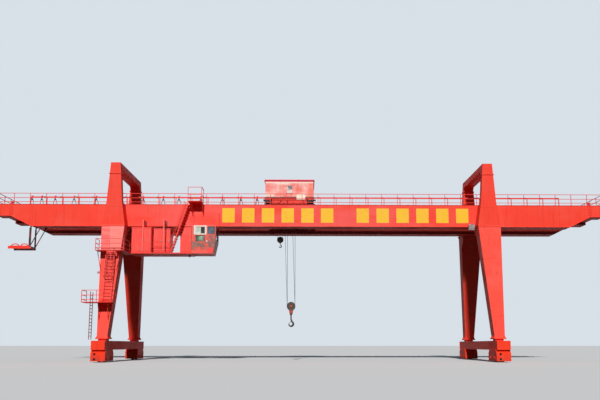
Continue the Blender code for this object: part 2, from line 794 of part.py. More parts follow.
def gallery(name, body):
    """The hung walkway: a plated floor, straps up to the girder's face and a handrail along its front."""
    low = GALLERY_FLOOR - GALLERY_PLATE
    floor = box((GALLERY_LEFT, GALLERY_FRONT, low), (GALLERY_RIGHT, GALLERY_REAR, GALLERY_FLOOR))
    thing = piece(name, floor, RED, body)
    extras = []
    near = -GIRDER_OUTER - SEAT
    for x in STRAP_PLACES:
        left, right = x - STRAP_WIDTH / 2, x + STRAP_WIDTH / 2
        extras.append(box((left, GALLERY_FRONT, low), (right, GALLERY_FRONT + STRAP_WIDTH / 2, STRAP_TOP)))
        extras.append(box((left, GALLERY_FRONT, STRAP_TOP - BRACKET_DEPTH), (right, near, STRAP_TOP)))
    for x in (GALLERY_LEFT + STRAP_WIDTH, GALLERY_RIGHT - STRAP_WIDTH):
        corner = (x - STRAP_WIDTH / 2, GALLERY_REAR - STRAP_WIDTH / 2, low)
        extras.append(box(corner, (x + STRAP_WIDTH / 2, GALLERY_REAR, GIRDER_BOTTOM - SEAT)))
    front = GALLERY_FRONT + RAILING_BAR / 2
    last = STAIR_BOTTOM_X - STAIR_WIDTH / 4
    extras.append(railing(HOUSE_LEFT[1], last, front, GALLERY_FLOOR - GALLERY_PLATE / 2, along_y))
    weld(thing, extras)


def cabinet(name, body):
    """The tall cabinet beside the cabin, with a lipped top."""
    low = GALLERY_FLOOR + SEAT

    def ring(z, inset):
        (x0, x1), (y0, y1) = CABINET_X, CABINET_Y
        return rectangle(x0 + inset, x1 - inset, y0 + inset, y1 - inset, z)

    lip = CABINET_TOP - HOUSE_LIP_HEIGHT
    levels = [ring(low, HOUSE_LIP), ring(lip, HOUSE_LIP), ring(lip, 0.0), ring(CABINET_TOP, 0.0)]
    piece(name, loft(levels), RED, body)


def cabin_outline(inset):
    """The cabin's side outline in XZ, its lower front sloping in; inset moves it inward by a wall."""
    slope = (CABIN_RIGHT - CABIN_CHIN) / (CABIN_CHIN_Z - CABIN_BOTTOM)
    chin = CABIN_CHIN + slope * inset - inset * math.hypot(1, slope)
    knee = CABIN_CHIN_Z + (inset * math.hypot(1, slope) - inset) / slope if inset else CABIN_CHIN_Z
    return [
        (CABIN_LEFT + inset, CABIN_BOTTOM + inset),
        (chin, CABIN_BOTTOM + inset),
        (CABIN_RIGHT - inset, knee),
        (CABIN_RIGHT - inset, CABIN_TOP - inset),
        (CABIN_LEFT + inset, CABIN_TOP - inset),
    ]


def cabin(body):
    """The operator's cabin: a hollow sheet-metal box with window openings, and a pane behind each."""
    thing = piece("cabin_shell", prism(cabin_outline(0.0), along_y, CABIN_FRONT, CABIN_REAR), RED, body)
    inside = prism(cabin_outline(CABIN_WALL), along_y, CABIN_FRONT + CABIN_WALL, CABIN_REAR - CABIN_WALL)
    through = CABIN_WALL / 2
    openings = []
    for x0, x1, z0, z1 in SIDE_WINDOWS:
        openings.append(box((x0, CABIN_FRONT - through, z0), (x1, CABIN_FRONT + CABIN_WALL + through, z1)))
    y0, y1, z0, z1 = FRONT_WINDOW
    openings.append(box((CABIN_RIGHT - CABIN_WALL - through, y0, z0), (CABIN_RIGHT + through, y1, z1)))
    cut(thing, [inside] + openings)
    near = CABIN_FRONT + CABIN_WALL + SEAT
    lows = min(z for _, _, z, _ in SIDE_WINDOWS) - CABIN_WALL
    highs = max(z for _, _, _, z in SIDE_WINDOWS) + CABIN_WALL
    left = min(x for x, _, _, _ in SIDE_WINDOWS) - CABIN_WALL
    right = CABIN_RIGHT - 2 * CABIN_WALL
    side = box((left, near, max(lows, CABIN_CHIN_Z)), (right, near + GLASS, highs))
    piece("cabin_side_glass", side, PANE, body)
    edge = CABIN_RIGHT - CABIN_WALL - SEAT
    front = box((edge - GLASS, y0 - CABIN_WALL, z0 - CABIN_WALL), (edge, y1 + CABIN_WALL, z1 + CABIN_WALL))
    piece("cabin_front_glass", front, PANE, body)


def cabin_hanger(name, body):
    """The frame that hangs the cabin: two posts on the girder's face and a bar over the cabin roof."""
    near, far = -GIRDER_OUTER - SEAT, -GIRDER_OUTER - SEAT - HANGER_BAR
    low = CABIN_TOP + SEAT
    half = HANGER_BAR / 2
    across = box((HANGER_PLACES[0] - half, far, low), (HANGER_PLACES[1] + half, near, low + HANGER_BAR))
    thing = piece(name, across, RED, body)
    weld(thing, [box((x - half, far, low), (x + half, near, HANGER_TOP)) for x in HANGER_PLACES])


def stair_flight(name, body):
    """The steep stair from the gallery to the girder top: two stringers with welded treads."""
    low, high = GALLERY_FLOOR + SEAT, LANDING_Z - LANDING_PLATE - SEAT
    x0, x1 = STAIR_BOTTOM_X, STAIR_TOP_X - SEAT
    back = STAIR_FRONT + STAIR_WIDTH
    outline = [(x0 - STAIR_STRINGER / 2, low), (x0 + STAIR_STRINGER / 2, low), (x1, high - STAIR_STRINGER)]
    outline += [(x1, high), (x1 - STAIR_STRINGER / 2, high)]
    thing = piece(name, prism(outline, along_y, STAIR_FRONT, STAIR_FRONT + STAIR_PLATE), RED, body)
    parts = [prism(outline, along_y, back - STAIR_PLATE, back)]
    for i in range(1, STAIR_STEPS):
        share = i / STAIR_STEPS
        x, z = x0 + (x1 - x0) * share, low + (high - low) * share
        corner = (x - TREAD_DEPTH / 2, STAIR_FRONT + STAIR_PLATE / 2, z - STAIR_PLATE)
        parts.append(box(corner, (x + TREAD_DEPTH / 2, back - STAIR_PLATE / 2, z)))
    weld(thing, parts)


def stair_landing(name, body):
    """The landing at the girder top, on two brackets welded to the girder's face, with its handrail."""
    near = -GIRDER_OUTER - SEAT
    front = LANDING_FRONT
    floor = box((STAIR_TOP_X, front, LANDING_Z - LANDING_PLATE), (LANDING_RIGHT, near, LANDING_Z))
    thing = piece(name, floor, RED, body)
    foot = LANDING_Z - LANDING_PLATE / 2
    half = RAILING_BAR / 2
    end = LANDING_RIGHT - half
    parts = [railing(STAIR_TOP_X, LANDING_RIGHT, front + half, foot, along_y, LANDING_RAIL)]
    parts.append(railing(front + half, near, end, foot, along_x, LANDING_RAIL))
    under = LANDING_Z - LANDING_PLATE
    for x in (STAIR_TOP_X + TREAD_DEPTH, LANDING_RIGHT - STAIR_PLATE):
        outline = [(near, under + half), (front, under + half), (near, under - (near - front))]
        parts.append(prism(outline, along_x, x, x + STAIR_PLATE))
    weld(thing, parts)


def leg_face(z):
    """The Y of the front leg's outer face at a height."""
    share = (GIRDER_BOTTOM - z) / (GIRDER_BOTTOM - LEG_FOOT_Z)
    return -LEG_TOP_FACE - share * (LEG_FOOT_FACE - LEG_TOP_FACE)


def leg_half(z):
    """Half of the leg's width along X at a height."""
    share = (GIRDER_BOTTOM - z) / (GIRDER_BOTTOM - LEG_FOOT_Z)
    return (LEG_TOP_WIDTH - share * (LEG_TOP_WIDTH - LEG_FOOT_WIDTH)) / 2


def leg_platform(name, body):
    """The upper platform: in front of the leg round the ladder well, and along its side to the gallery."""
    top, low = LEG_PLATFORM_Z, LEG_PLATFORM_Z - PLATFORM_PLATE
    face = leg_face(low) - SEAT
    side = -LEG_X + leg_half(top) + SEAT
    well = LADDER_X - LADDER_WELL / 2, LADDER_X + LADDER_WELL / 2
    right = GALLERY_LEFT - SEAT
    us = [LEG_PLATFORM_LEFT, well[0], well[1], side, right]
    vs = [LEG_PLATFORM_FRONT, face - LADDER_WELL, face, LEG_PLATFORM_REAR]
    deck = cells(us, vs, lambda i, j: (j == 0) or (j == 1 and i != 1) or i == 3, along_z, low, top)
    thing = piece(name, deck, RED, body)
    half = RAILING_BAR / 2
    foot = (low + top) / 2
    front = LEG_PLATFORM_FRONT + half
    parts = [railing(LEG_PLATFORM_LEFT, right, front, foot, along_y)]
    for x, last in ((LEG_PLATFORM_LEFT + half, face), (right - half, GALLERY_FRONT)):
        parts.append(railing(front, last, x, foot, along_x))
    reach = leg_half(low - LEG_KNEE_DROP) - 2 * RAILING_BAR
    for start, edge in ((LEG_PLATFORM_LEFT + half, -LEG_X - reach), (side + half, -LEG_X + reach)):
        parts.append(knee(start, edge, face - LADDER_WELL / 2, low, LEG_KNEE_DROP))
    weld(thing, parts)


def knee(x, edge, y, low, drop):
    """A sloping strut from under a platform down to the leg's face, at edge along X."""
    foot = low - drop
    end = (edge, leg_face(foot) - SEAT - 1.5 * RAILING_BAR, foot)
    return bar((x, y, low + RAILING_BAR / 2), end, RAILING_BAR, 2 * RAILING_BAR)


def lower_platform(name, body):
    """The lower platform in front of the leg, reached by the lower ladder, with its handrail."""
    top, low = LOWER_PLATFORM_Z, LOWER_PLATFORM_Z - PLATFORM_PLATE
    face = leg_face(low) - SEAT
    front = face - LOWER_PLATFORM_REACH
    well = LOWER_LADDER_X - LOWER_WELL_WIDTH, LOWER_LADDER_X
    us = [LOWER_PLATFORM_LEFT, well[0], well[1], LOWER_PLATFORM_RIGHT]
    vs = [front, face - LOWER_WELL_MARGIN - LADDER_WELL, face - LOWER_WELL_MARGIN, face]
    deck = cells(us, vs, lambda i, j: (i, j) != (1, 1), along_z, low, top)
    thing = piece(name, deck, RED, body)
    half = RAILING_BAR / 2
    foot = (low + top) / 2
    parts = [railing(LOWER_PLATFORM_LEFT, LOWER_PLATFORM_RIGHT, front + half, foot, along_y)]
    for x in (LOWER_PLATFORM_LEFT + half, LOWER_PLATFORM_RIGHT - half):
        parts.append(railing(front, face, x, foot, along_x))
    for x in (-LEG_X - LOWER_STRUT_SPREAD, -LEG_X + LOWER_STRUT_SPREAD):
        parts.append(knee(x, x, front + LOWER_STRUT_INSET, low, LOWER_STRUT_DROP))
    weld(thing, parts)


def ladder_frame(middle, foot, top, back, place=along_y):
    """Stiles and rungs of an upright ladder, as one lattice in the plane that ends at back."""
    half, stile = LADDER_WIDTH / 2, LADDER_BAR
    us = [middle - half, middle - half + stile, middle + half - stile, middle + half]
    rungs = stops(foot + RUNG_PITCH, top - RUNG_PITCH, RUNG_PITCH)
    vs = [foot] + [z + s * LADDER_BAR / 2 for z in rungs for s in (-1, 1)] + [top]
    return cells(us, vs, lambda i, j: i != 1 or j % 2 == 1, place, back - stile, back)


def caged_ladder(name, body):
    """The caged ladder on the leg's sloping front, held by stand-offs, with hoops and upright straps."""
    low = LOWER_PLATFORM_Z + SEAT
    foot_face = leg_face(low)
    back = foot_face - LADDER_STANDOFF
    rise = (LEG_PLATFORM_Z - PLATFORM_PLATE - low) / math.cos(LEG_LEAN)
    pivot = (LADDER_X, foot_face, low)
    thing_shape = ladder_frame(LADDER_X, low + LADDER_BAR, low + rise, back)
    thing = piece(name, leaned(thing_shape, -LEG_LEAN, pivot), RED, body)
    parts = []
    hoops = stops(low + CAGE_START, low + rise - CAGE_PITCH / 2, CAGE_PITCH)
    angles = [math.pi * (1 + i / 8) for i in range(9)]

    def bent(radius):
        """Half an oval in front of the stiles, deeper than it is wide."""
        deep = CAGE_STRETCH * radius
        return [(LADDER_X + radius * math.cos(a), back + deep * math.sin(a)) for a in angles]

    for z in hoops:
        ring = bent(CAGE_RADIUS) + bent(CAGE_RADIUS - CAGE_BAR)[::-1]
        parts.append(prism(ring, along_z, z, z + 2 * CAGE_BAR))
    for z in (hoops[0], hoops[-1]):
        corner = (LADDER_X - CAGE_RADIUS, back - LADDER_BAR, z)
        parts.append(box(corner, (LADDER_X + CAGE_RADIUS, back, z + 2 * CAGE_BAR)))
    for x, y in bent(CAGE_RADIUS - CAGE_BAR / 2)[1:-1:2]:
        corner = (x - CAGE_BAR, y - CAGE_BAR / 2, hoops[0])
        parts.append(box(corner, (x + CAGE_BAR, y + CAGE_BAR / 2, hoops[-1])))
    for z in stops(low + CAGE_PITCH, low + rise - CAGE_PITCH, 3 * CAGE_PITCH):
        for s in (-1, 1):
            x = LADDER_X + s * (LADDER_WIDTH / 2 - LADDER_BAR / 2)
            start = (x - LADDER_BAR / 2, back - LADDER_BAR / 2, z)
            parts.append(box(start, (x + LADDER_BAR / 2, foot_face - 2 * SEAT, z + LADDER_BAR)))
    weld(thing, [leaned(part, -LEG_LEAN, pivot) for part in parts])


def lower_ladder(name, body):
    """The plain ladder beside the leg, from above the ground beam up through the lower platform's well."""
    face = leg_face(LOWER_PLATFORM_Z - PLATFORM_PLATE) - SEAT
    middle = face - LOWER_WELL_MARGIN - LADDER_WELL / 2
    top = LOWER_PLATFORM_Z + LADDER_WELL
    shape = ladder_frame(middle, LOWER_LADDER_FOOT, top, LOWER_LADDER_X - SEAT, along_x)
    piece(name, shape, RED, body)


def collector_frame(name, body):
    """The arm that held the power collectors: a floor hung under the girder on two posts and two braces."""
    top = GIRDER_BOTTOM - SEAT
    bar_half = COLLECTOR_BAR / 2
    y0, y1 = COLLECTOR_Y
    us = [COLLECTOR_LEFT, COLLECTOR_LEFT + COLLECTOR_BAR, COLLECTOR_POST_X, COLLECTOR_POST_X + COLLECTOR_BAR]
    vs = [y0 - bar_half, y0 + bar_half, y1 - bar_half, y1 + bar_half]
    floor = cells(us, vs, lambda i, j: j != 1 or i != 1, along_z, COLLECTOR_Z, COLLECTOR_Z + COLLECTOR_BAR)
    thing = piece(name, floor, RED, body)
    parts = []
    for y in COLLECTOR_Y:
        low = (COLLECTOR_POST_X, y - bar_half, COLLECTOR_Z)
        high = (COLLECTOR_POST_X + COLLECTOR_BAR, y + bar_half, collector_top(COLLECTOR_POST_X))
        parts.append(box(low, high))
        start = (COLLECTOR_POST_X + bar_half, y, COLLECTOR_Z + COLLECTOR_BAR)
        parts.append(bar(start, (COLLECTOR_BRACE_X, y, top - bar_half), *COLLECTOR_BRACE))
        foot = (COLLECTOR_BRACE_X - COLLECTOR_BAR, y - bar_half, top - COLLECTOR_BAR)
        parts.append(box(foot, (COLLECTOR_BRACE_X + COLLECTOR_BAR, y + bar_half, top)))
    weld(thing, parts)


def collector_top(x):
    """The height of the girder's underside, less the seat, above a place on the tapered end."""
    rise = GIRDER_DEPTH - GIRDER_END_DEPTH
    share = max(0.0, (abs(x + COLLECTOR_BAR) - TAPER_START) / (END_SECTION_START - TAPER_START))
    return GIRDER_BOTTOM + rise * share - SEAT


def floodlight(name, body):
    """A floodlight on a bracket at the girder's lower edge, tilted down."""
    near = -GIRDER_OUTER - SEAT
    centre = (LAMP_X, near - LAMP_DEPTH - RUNNING, LAMP_Z)
    half = LAMP_WIDTH / 2
    deep, tall = LAMP_DEPTH / 2, LAMP_HEIGHT / 2
    rings = []
    for offset, grow in ((-deep, 1.0), (0.0, 1.0), (deep, 0.55)):
        y = centre[1] + offset
        x_reach, z_reach = half * grow, tall * grow
        corners = ((-1, -1), (1, -1), (1, 1), (-1, 1))
        rings.append([(LAMP_X + s * x_reach, y, LAMP_Z + t * z_reach) for s, t in corners])
    lean = math.radians(LAMP_TILT)
    thing = piece(name, leaned(loft(rings), lean, centre), LAMP, body)
    arm = RAILING_BAR
    weld(thing, [box((LAMP_X - arm, centre[1], LAMP_Z - arm), (LAMP_X + arm, near, LAMP_Z + arm))])


def trolley_frame(name, body):
    """The trolley's welded frame: deck, cradle between the wheels, bearings, pulley plates and cable arm."""
    x = TROLLEY_X
    reach, wide = DECK_LENGTH / 2, DECK_WIDTH / 2
    well = ROPE_WELL_WIDTH / 2
    us = [x - reach, ROPE_WELL[0], ROPE_WELL[1], x + reach]
    vs = [-wide, -well, well, wide]
    deck = cells(us, vs, lambda i, j: (i, j) != (1, 1), along_z, DECK_BOTTOM, DECK_TOP)
    thing = piece(name, deck, PINK, body)
    cradle = CRADLE_LENGTH / 2
    us = [x - cradle, ROPE_WELL[0], ROPE_WELL[1], x + cradle]
    vs = [-wide + RUNNING, -well, well, wide - RUNNING]
    middle = DECK_BOTTOM + DECK_THICKNESS / 2
    parts = [cells(us, vs, lambda i, j: (i, j) != (1, 1), along_z, CRADLE_BOTTOM, middle)]
    axle_z = RAIL_TOP + SEAT + TROLLEY_WHEEL_RADIUS
    bores = []
    for end in (-1, 1):
        wheel_x = x + end * TROLLEY_WHEEL_BASE / 2
        for side in (-1, 1):
            y = side * (RAIL_GAUGE / 2 - BEARING_OFFSET)
            low = (wheel_x - BEARING_REACH, y - BEARING_WIDTH / 2, axle_z - BEARING_REACH)
            parts.append(box(low, (wheel_x + BEARING_REACH, y + BEARING_WIDTH / 2, middle)))
        ends = [(wheel_x, s * wide, axle_z) for s in (-1, 1)]
        bores.append(rod(*ends, bore_of(TROLLEY_AXLE_RADIUS), SIDES))
    for side in (-1, 1):
        near, far = side * well, side * (well + PULLEY_SUPPORT)
        low = (ROPE_WELL[0] + SUPPORT_MARGIN, min(near, far), middle)
        high = (ROPE_WELL[1] - SUPPORT_MARGIN, max(near, far), PULLEY_Z + SUPPORT_RISE)
        parts.append(box(low, high))
    for centre in (DRUM_X, AUX_X):
        ends = [(centre, s * (well + 2 * PULLEY_SUPPORT), PULLEY_Z) for s in (-1, 1)]
        bores.append(rod(*ends, bore_of(MAIN_PIN_RADIUS), SIDES))
    post = x - reach
    half = ARM_BAR / 2
    foot_y = wide - ARM_BAR
    parts.append(box((post, foot_y, middle), (post + ARM_BAR, wide, CABLE_TOP + SADDLE_RADIUS)))
    tip = TRACK_Y - TRACK_BAR / 2 - ARM_CLEARANCE
    high = CABLE_TOP + SADDLE_RADIUS + half
    parts.append(box((CABLE_END + SEAT, foot_y, high - ARM_BAR), (post + ARM_BAR, tip, high)))
    weld(thing, parts)
    cut(thing, bores)


def wheel_set(name, end, body):
    """Two flanged trolley wheels on one axle."""
    centre = (TROLLEY_X + end * TROLLEY_WHEEL_BASE / 2, 0.0, RAIL_TOP + SEAT + TROLLEY_WHEEL_RADIUS)
    axle, tread = TROLLEY_AXLE_RADIUS, TROLLEY_WHEEL_RADIUS / math.cos(math.pi / SIDES)
    half, middle = TROLLEY_WHEEL_WIDTH / 2, RAIL_GAUGE / 2
    flange = tread + TROLLEY_FLANGE
    inside = middle - half
    near = [(tread, middle + half), (tread, inside), (flange, inside), (flange, inside - TROLLEY_FLANGE)]
    near.append((axle, inside - TROLLEY_FLANGE))
    profile = near + [(radius, -y) for radius, y in reversed(near)]
    piece(name, round_bar(profile, centre, SIDES, along_y, math.pi / SIDES), BLACK, body, smooth=True)


def trolley_house(body):
    """The trolley's sheet-metal house, open below over the hoist drums, and its overhanging roof."""
    x, low = TROLLEY_X, DECK_TOP + SEAT
    half, wide = HOUSE_LENGTH / 2, HOUSE_WIDTH / 2
    block = box((x - half, -wide, low), (x + half, wide, TROLLEY_HOUSE_TOP))
    shell = piece("trolley_house", block, PINK, body)
    room = ROPE_WELL_WIDTH / 2 + 3 * PULLEY_SUPPORT
    cut(shell, [box((ROPE_WELL[0], -room, low - RUNNING), (ROPE_WELL[1], room, POCKET_TOP))])
    roof_low = TROLLEY_HOUSE_TOP + SEAT
    reach, across = half + ROOF_OVERHANG, wide + ROOF_OVERHANG
    edge = ROOF_THICKNESS / 2
    rings = [
        rectangle(x - reach, x + reach, -across, across, roof_low),
        rectangle(x - reach, x + reach, -across, across, roof_low + edge),
        rectangle(x - half, x + half, -wide, wide, roof_low + ROOF_THICKNESS),
    ]
    piece("trolley_roof", loft(rings), PINK, body)


def groove_floor(pitch_radius):
    """Radius of a groove's floor under a rope at the pitch radius, on a wheel with flat facets."""
    return pitch_radius - (ROPE_RADIUS + SEAT) / math.cos(math.pi / SIDES)


def hoist_drum(body):
    """The main drum and its return pulley on one shaft, in the bearing plates."""
    well = ROPE_WELL_WIDTH / 2 - RUNNING
    drum, pulley = groove_floor(DRUM_PITCH_RADIUS), groove_floor(RETURN_PITCH_RADIUS)
    rim, lip = SHEAVE_RIM - MAIN_PITCH_RADIUS, RUNNING / 2
    profile = [
        (MAIN_PIN_RADIUS, -well - RUNNING - PULLEY_SUPPORT),
        (MAIN_PIN_RADIUS, -well),
        (drum, -well),
        (drum, 0.0),
        (pulley, 0.0),
        (pulley, MAIN_GROOVE_Y + 2 * lip),
        (RETURN_PITCH_RADIUS + rim, MAIN_GROOVE_Y + 3 * lip),
        (RETURN_PITCH_RADIUS + rim, MAIN_GROOVE_Y + 4 * lip),
        (MAIN_PIN_RADIUS, MAIN_GROOVE_Y + 4 * lip),
        (MAIN_PIN_RADIUS, well + RUNNING + PULLEY_SUPPORT),
    ]
    piece("main_drum", round_bar(profile, (DRUM_X, 0.0, PULLEY_Z)), BLACK, body, smooth=True)
    floor = groove_floor(AUX_DRUM_PITCH_RADIUS)
    small = [
        (MAIN_PIN_RADIUS, -well - RUNNING - PULLEY_SUPPORT),
        (MAIN_PIN_RADIUS, -well),
        (floor, -well),
        (floor, well),
        (MAIN_PIN_RADIUS, well),
        (MAIN_PIN_RADIUS, well + RUNNING + PULLEY_SUPPORT),
    ]
    piece("aux_drum", round_bar(small, (AUX_X, 0.0, PULLEY_Z)), BLACK, body, smooth=True)


def rope(name, y, top_x, top_radius, block_x, block_z, block_radius, body):
    """Two falls of wire rope from a drum's sides down to a sheave, and half a turn under it."""
    points = [(top_x - top_radius, y, PULLEY_Z)]
    steps = SIDES // 2
    for i in range(steps + 1):
        angle = math.pi + math.pi * i / steps
        out, up = block_radius * math.cos(angle), block_radius * math.sin(angle)
        points.append((block_x + out, y, block_z + up))
    points.append((top_x + top_radius, y, PULLEY_Z))
    tube(name, points, ROPE_RADIUS, ROPE, body)


def main_block(body):
    """The bottom block: two cheek plates joined by the sheave pin and the crosshead, and the two sheaves."""
    x, z = MAIN_X, MAIN_SHEAVE_Z
    gap = MAIN_GROOVE_Y + 2 * RUNNING
    foot = z - CHEEK_DROP
    start = math.asin(CHEEK_FOOT_WIDTH / 2 / CHEEK_RADIUS) - math.pi / 2
    sweep = 2 * math.pi - 2 * (start + math.pi / 2)
    turns = [start + sweep * i / SIDES for i in range(SIDES + 1)]
    outline = [(x + CHEEK_RADIUS * math.cos(a), z + CHEEK_RADIUS * math.sin(a)) for a in turns]
    outline += [(x - CHEEK_FOOT_WIDTH / 2, foot), (x + CHEEK_FOOT_WIDTH / 2, foot)]
    thing = piece("main_block", prism(outline, along_y, -gap - CHEEK_THICKNESS, -gap), RED, body)
    pin = [(x, s * (gap + 2 * CHEEK_THICKNESS), z) for s in (-1, 1)]
    reach = gap + CHEEK_THICKNESS / 2
    width = CHEEK_FOOT_WIDTH / 2 - RUNNING / 2
    crosshead = box((x - width, -reach, foot + RUNNING / 2), (x + width, reach, foot + CROSSHEAD_HEIGHT))
    other = prism(outline, along_y, gap, gap + CHEEK_THICKNESS)
    weld(thing, [other, rod(*pin, MAIN_PIN_RADIUS, SIDES), crosshead])
    low, high = foot - RUNNING, foot + CROSSHEAD_HEIGHT + RUNNING
    cut(thing, [rod((x, 0, low), (x, 0, high), bore_of(HOOK_SHANK_RADIUS), SIDES)])
    floor = groove_floor(MAIN_PITCH_RADIUS)
    hub, lip = floor / 2, RUNNING / 2
    half = MAIN_GROOVE_Y + 2 * RUNNING - SEAT
    one_side = [
        (SHEAVE_RIM, half),
        (SHEAVE_RIM, MAIN_GROOVE_Y + 2.2 * lip),
        (floor, MAIN_GROOVE_Y + 1.1 * lip),
        (floor, MAIN_GROOVE_Y - 1.1 * lip),
        (SHEAVE_RIM, MAIN_GROOVE_Y - 2.2 * lip),
        (SHEAVE_RIM, MAIN_GROOVE_Y - 3.2 * lip),
        (hub, MAIN_GROOVE_Y - 3.2 * lip),
    ]
    bored = bore_of(MAIN_PIN_RADIUS)
    profile = [(bored, -half), (bored, half)] + one_side + [(r, -y) for r, y in reversed(one_side)]
    piece("main_sheaves", turned(profile, (x, 0.0, z)), BLACK, body, smooth=True)


def hook_curve(x, bottom, bowl, shank):
    """A single hook below its shank: round sections along the taper and round the bowl to the tip."""
    centre_z = bottom + (1 + HOOK_BACK) * bowl
    top = centre_z + 2.1 * bowl
    stations = [(x, top, 0.0, shank, shank), (x + 0.1 * bowl, centre_z + 1.5 * bowl, -0.14, shank, shank)]
    turns = 14
    for i in range(turns + 1):
        share = i / turns
        angle = HOOK_START - share * HOOK_SWEEP
        half = bowl * (HOOK_TIP + HOOK_SWELL * math.sin(math.pi * min(1.0, (1 + 3 * share) / 4)))
        radius = bowl * (1 + HOOK_OPENING * math.sin(math.pi * share))
        place = (x + radius * math.cos(angle), centre_z + radius * math.sin(angle))
        stations.append((*place, angle, half, half * HOOK_FLATNESS))
    rings = []
    for px, pz, across, half, thin in stations:
        turn = [math.pi * (k + 0.5) / 4 for k in range(8)]
        ring = [(half * math.cos(t), thin * math.sin(t)) for t in turn]
        rings.append([(px + u * math.cos(across), v, pz + u * math.sin(across)) for u, v in ring])
    return loft(rings), top


def main_hook(body):
    """The forged hook: its nut over the crosshead, the shank through it, and the bowl below."""
    foot = MAIN_SHEAVE_Z - CHEEK_DROP
    top = foot + CROSSHEAD_HEIGHT
    shape, start = hook_curve(MAIN_X, HOOK_BOTTOM, HOOK_BOWL, HOOK_SHANK_RADIUS)
    profile = [
        (HOOK_SHANK_RADIUS, start - RUNNING),
        (HOOK_SHANK_RADIUS, top + SEAT),
        (HOOK_NUT_RADIUS, top + SEAT),
        (HOOK_NUT_RADIUS, top + RUNNING * 2),
    ]
    thing = piece("main_hook", shape, BLACK, body, smooth=True)
    weld(thing, [round_bar(profile, (MAIN_X, 0.0, 0.0), SIDES, along_z)])


def aux_block(body):
    """The small round block of the second hoist, with its hook: a grooved wheel closed in by two discs."""
    centre = (AUX_X, 0.0, AUX_SHEAVE_Z)
    floor = groove_floor(AUX_PITCH_RADIUS)
    lip = RUNNING / 2
    edge = AUX_BLOCK_RADIUS
    half = [(edge - 3 * lip, 6 * lip), (edge, 5 * lip), (edge, 2 * lip), (floor, lip)]
    profile = half + [(radius, -y) for radius, y in reversed(half)]
    shape, start = hook_curve(AUX_X, AUX_HOOK_BOTTOM, AUX_HOOK_BOWL, HOOK_SHANK_RADIUS / 2)
    thing = piece("aux_block", round_bar(profile, centre), BLACK, body, smooth=True)
    rope_low = AUX_SHEAVE_Z - AUX_PITCH_RADIUS - ROPE_RADIUS
    low = AUX_SHEAVE_Z - AUX_BLOCK_RADIUS - RUNNING
    half = AUX_BLOCK_RADIUS / 3
    yoke = box((AUX_X - half, -4 * lip, low), (AUX_X + half, 4 * lip, rope_low - lip))
    shank = [(HOOK_SHANK_RADIUS / 2, start - lip), (HOOK_SHANK_RADIUS / 2, low + lip)]
    weld(thing, [yoke, shape, round_bar(shank, (AUX_X, 0.0, 0.0), 12, along_z)])


def build():
    """Clears the scene and puts the crane together from the ground up."""
    for thing in list(bpy.data.objects):
        bpy.data.objects.remove(thing)
    root = empty("gantry", (0.0, 0.0, 0.0))
    for side_name, end in (("left", -1), ("right", 1)):
        ground_beam(side_name + "_ground_beam", end, root)
        for row, side in (("front", -1), ("rear", 1)):
            bogie(row + "_" + side_name + "_bogie", end, side, root)
            leg(row + "_" + side_name + "_leg", end, side, root)
        saddle(side_name + "_saddle", end, root)
        end_beam(side_name + "_end_beam", end, root)
        end_handrail(side_name + "_end_handrail", end, root)
    for row, side in (("front", -1), ("rear", 1)):
        girder(row + "_girder", side, root)
        trolley_rail(row + "_trolley_rail", side, root)
        girder_handrail(row + "_handrail", side, root)
    festoon_track("festoon_track", root)
    festoon_cable("festoon_cable", root)
    gallery("gallery", root)
    electrical_house("electrical_house_left", HOUSE_LEFT, HOUSE_LEFT_FRONT, root)
    electrical_house("electrical_house_right", HOUSE_RIGHT, HOUSE_RIGHT_FRONT, root)
    cabinet("cabinet", root)
    cabin(root)
    cabin_hanger("cabin_hanger", root)
    stair_flight("stair_flight", root)
    stair_landing("stair_landing", root)
    leg_platform("leg_platform", root)
    caged_ladder("caged_ladder", root)
    lower_platform("lower_platform", root)
    lower_ladder("lower_ladder", root)
    collector_frame("collector_frame", root)
    floodlight("floodlight", root)
    trolley = empty("trolley", (TROLLEY_X, 0.0, RAIL_TOP), root)
    trolley_frame("trolley_frame", trolley)
    wheel_set("left_wheel_set", -1, trolley)
    wheel_set("right_wheel_set", 1, trolley)
    trolley_house(trolley)
    hoist_drum(trolley)
    block = (MAIN_X, MAIN_SHEAVE_Z, MAIN_PITCH_RADIUS)
    rope("main_rope_front", -MAIN_GROOVE_Y, DRUM_X, DRUM_PITCH_RADIUS, *block, trolley)
    rope("main_rope_rear", MAIN_GROOVE_Y, DRUM_X, RETURN_PITCH_RADIUS, *block, trolley)
    rope("aux_rope", 0.0, AUX_X, AUX_DRUM_PITCH_RADIUS, AUX_X, AUX_SHEAVE_Z, AUX_PITCH_RADIUS, trolley)
    block_axis = empty("main_block_axis", (MAIN_X, 0.0, MAIN_SHEAVE_Z), trolley)
    main_block(block_axis)
    hook_axis = empty("main_hook_axis", (MAIN_X, 0.0, MAIN_SHEAVE_Z - CHEEK_DROP), block_axis)
    main_hook(hook_axis)
    aux_axis = empty("aux_block_axis", (AUX_X, 0.0, AUX_SHEAVE_Z), trolley)
    aux_block(aux_axis)


build()
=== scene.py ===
import math

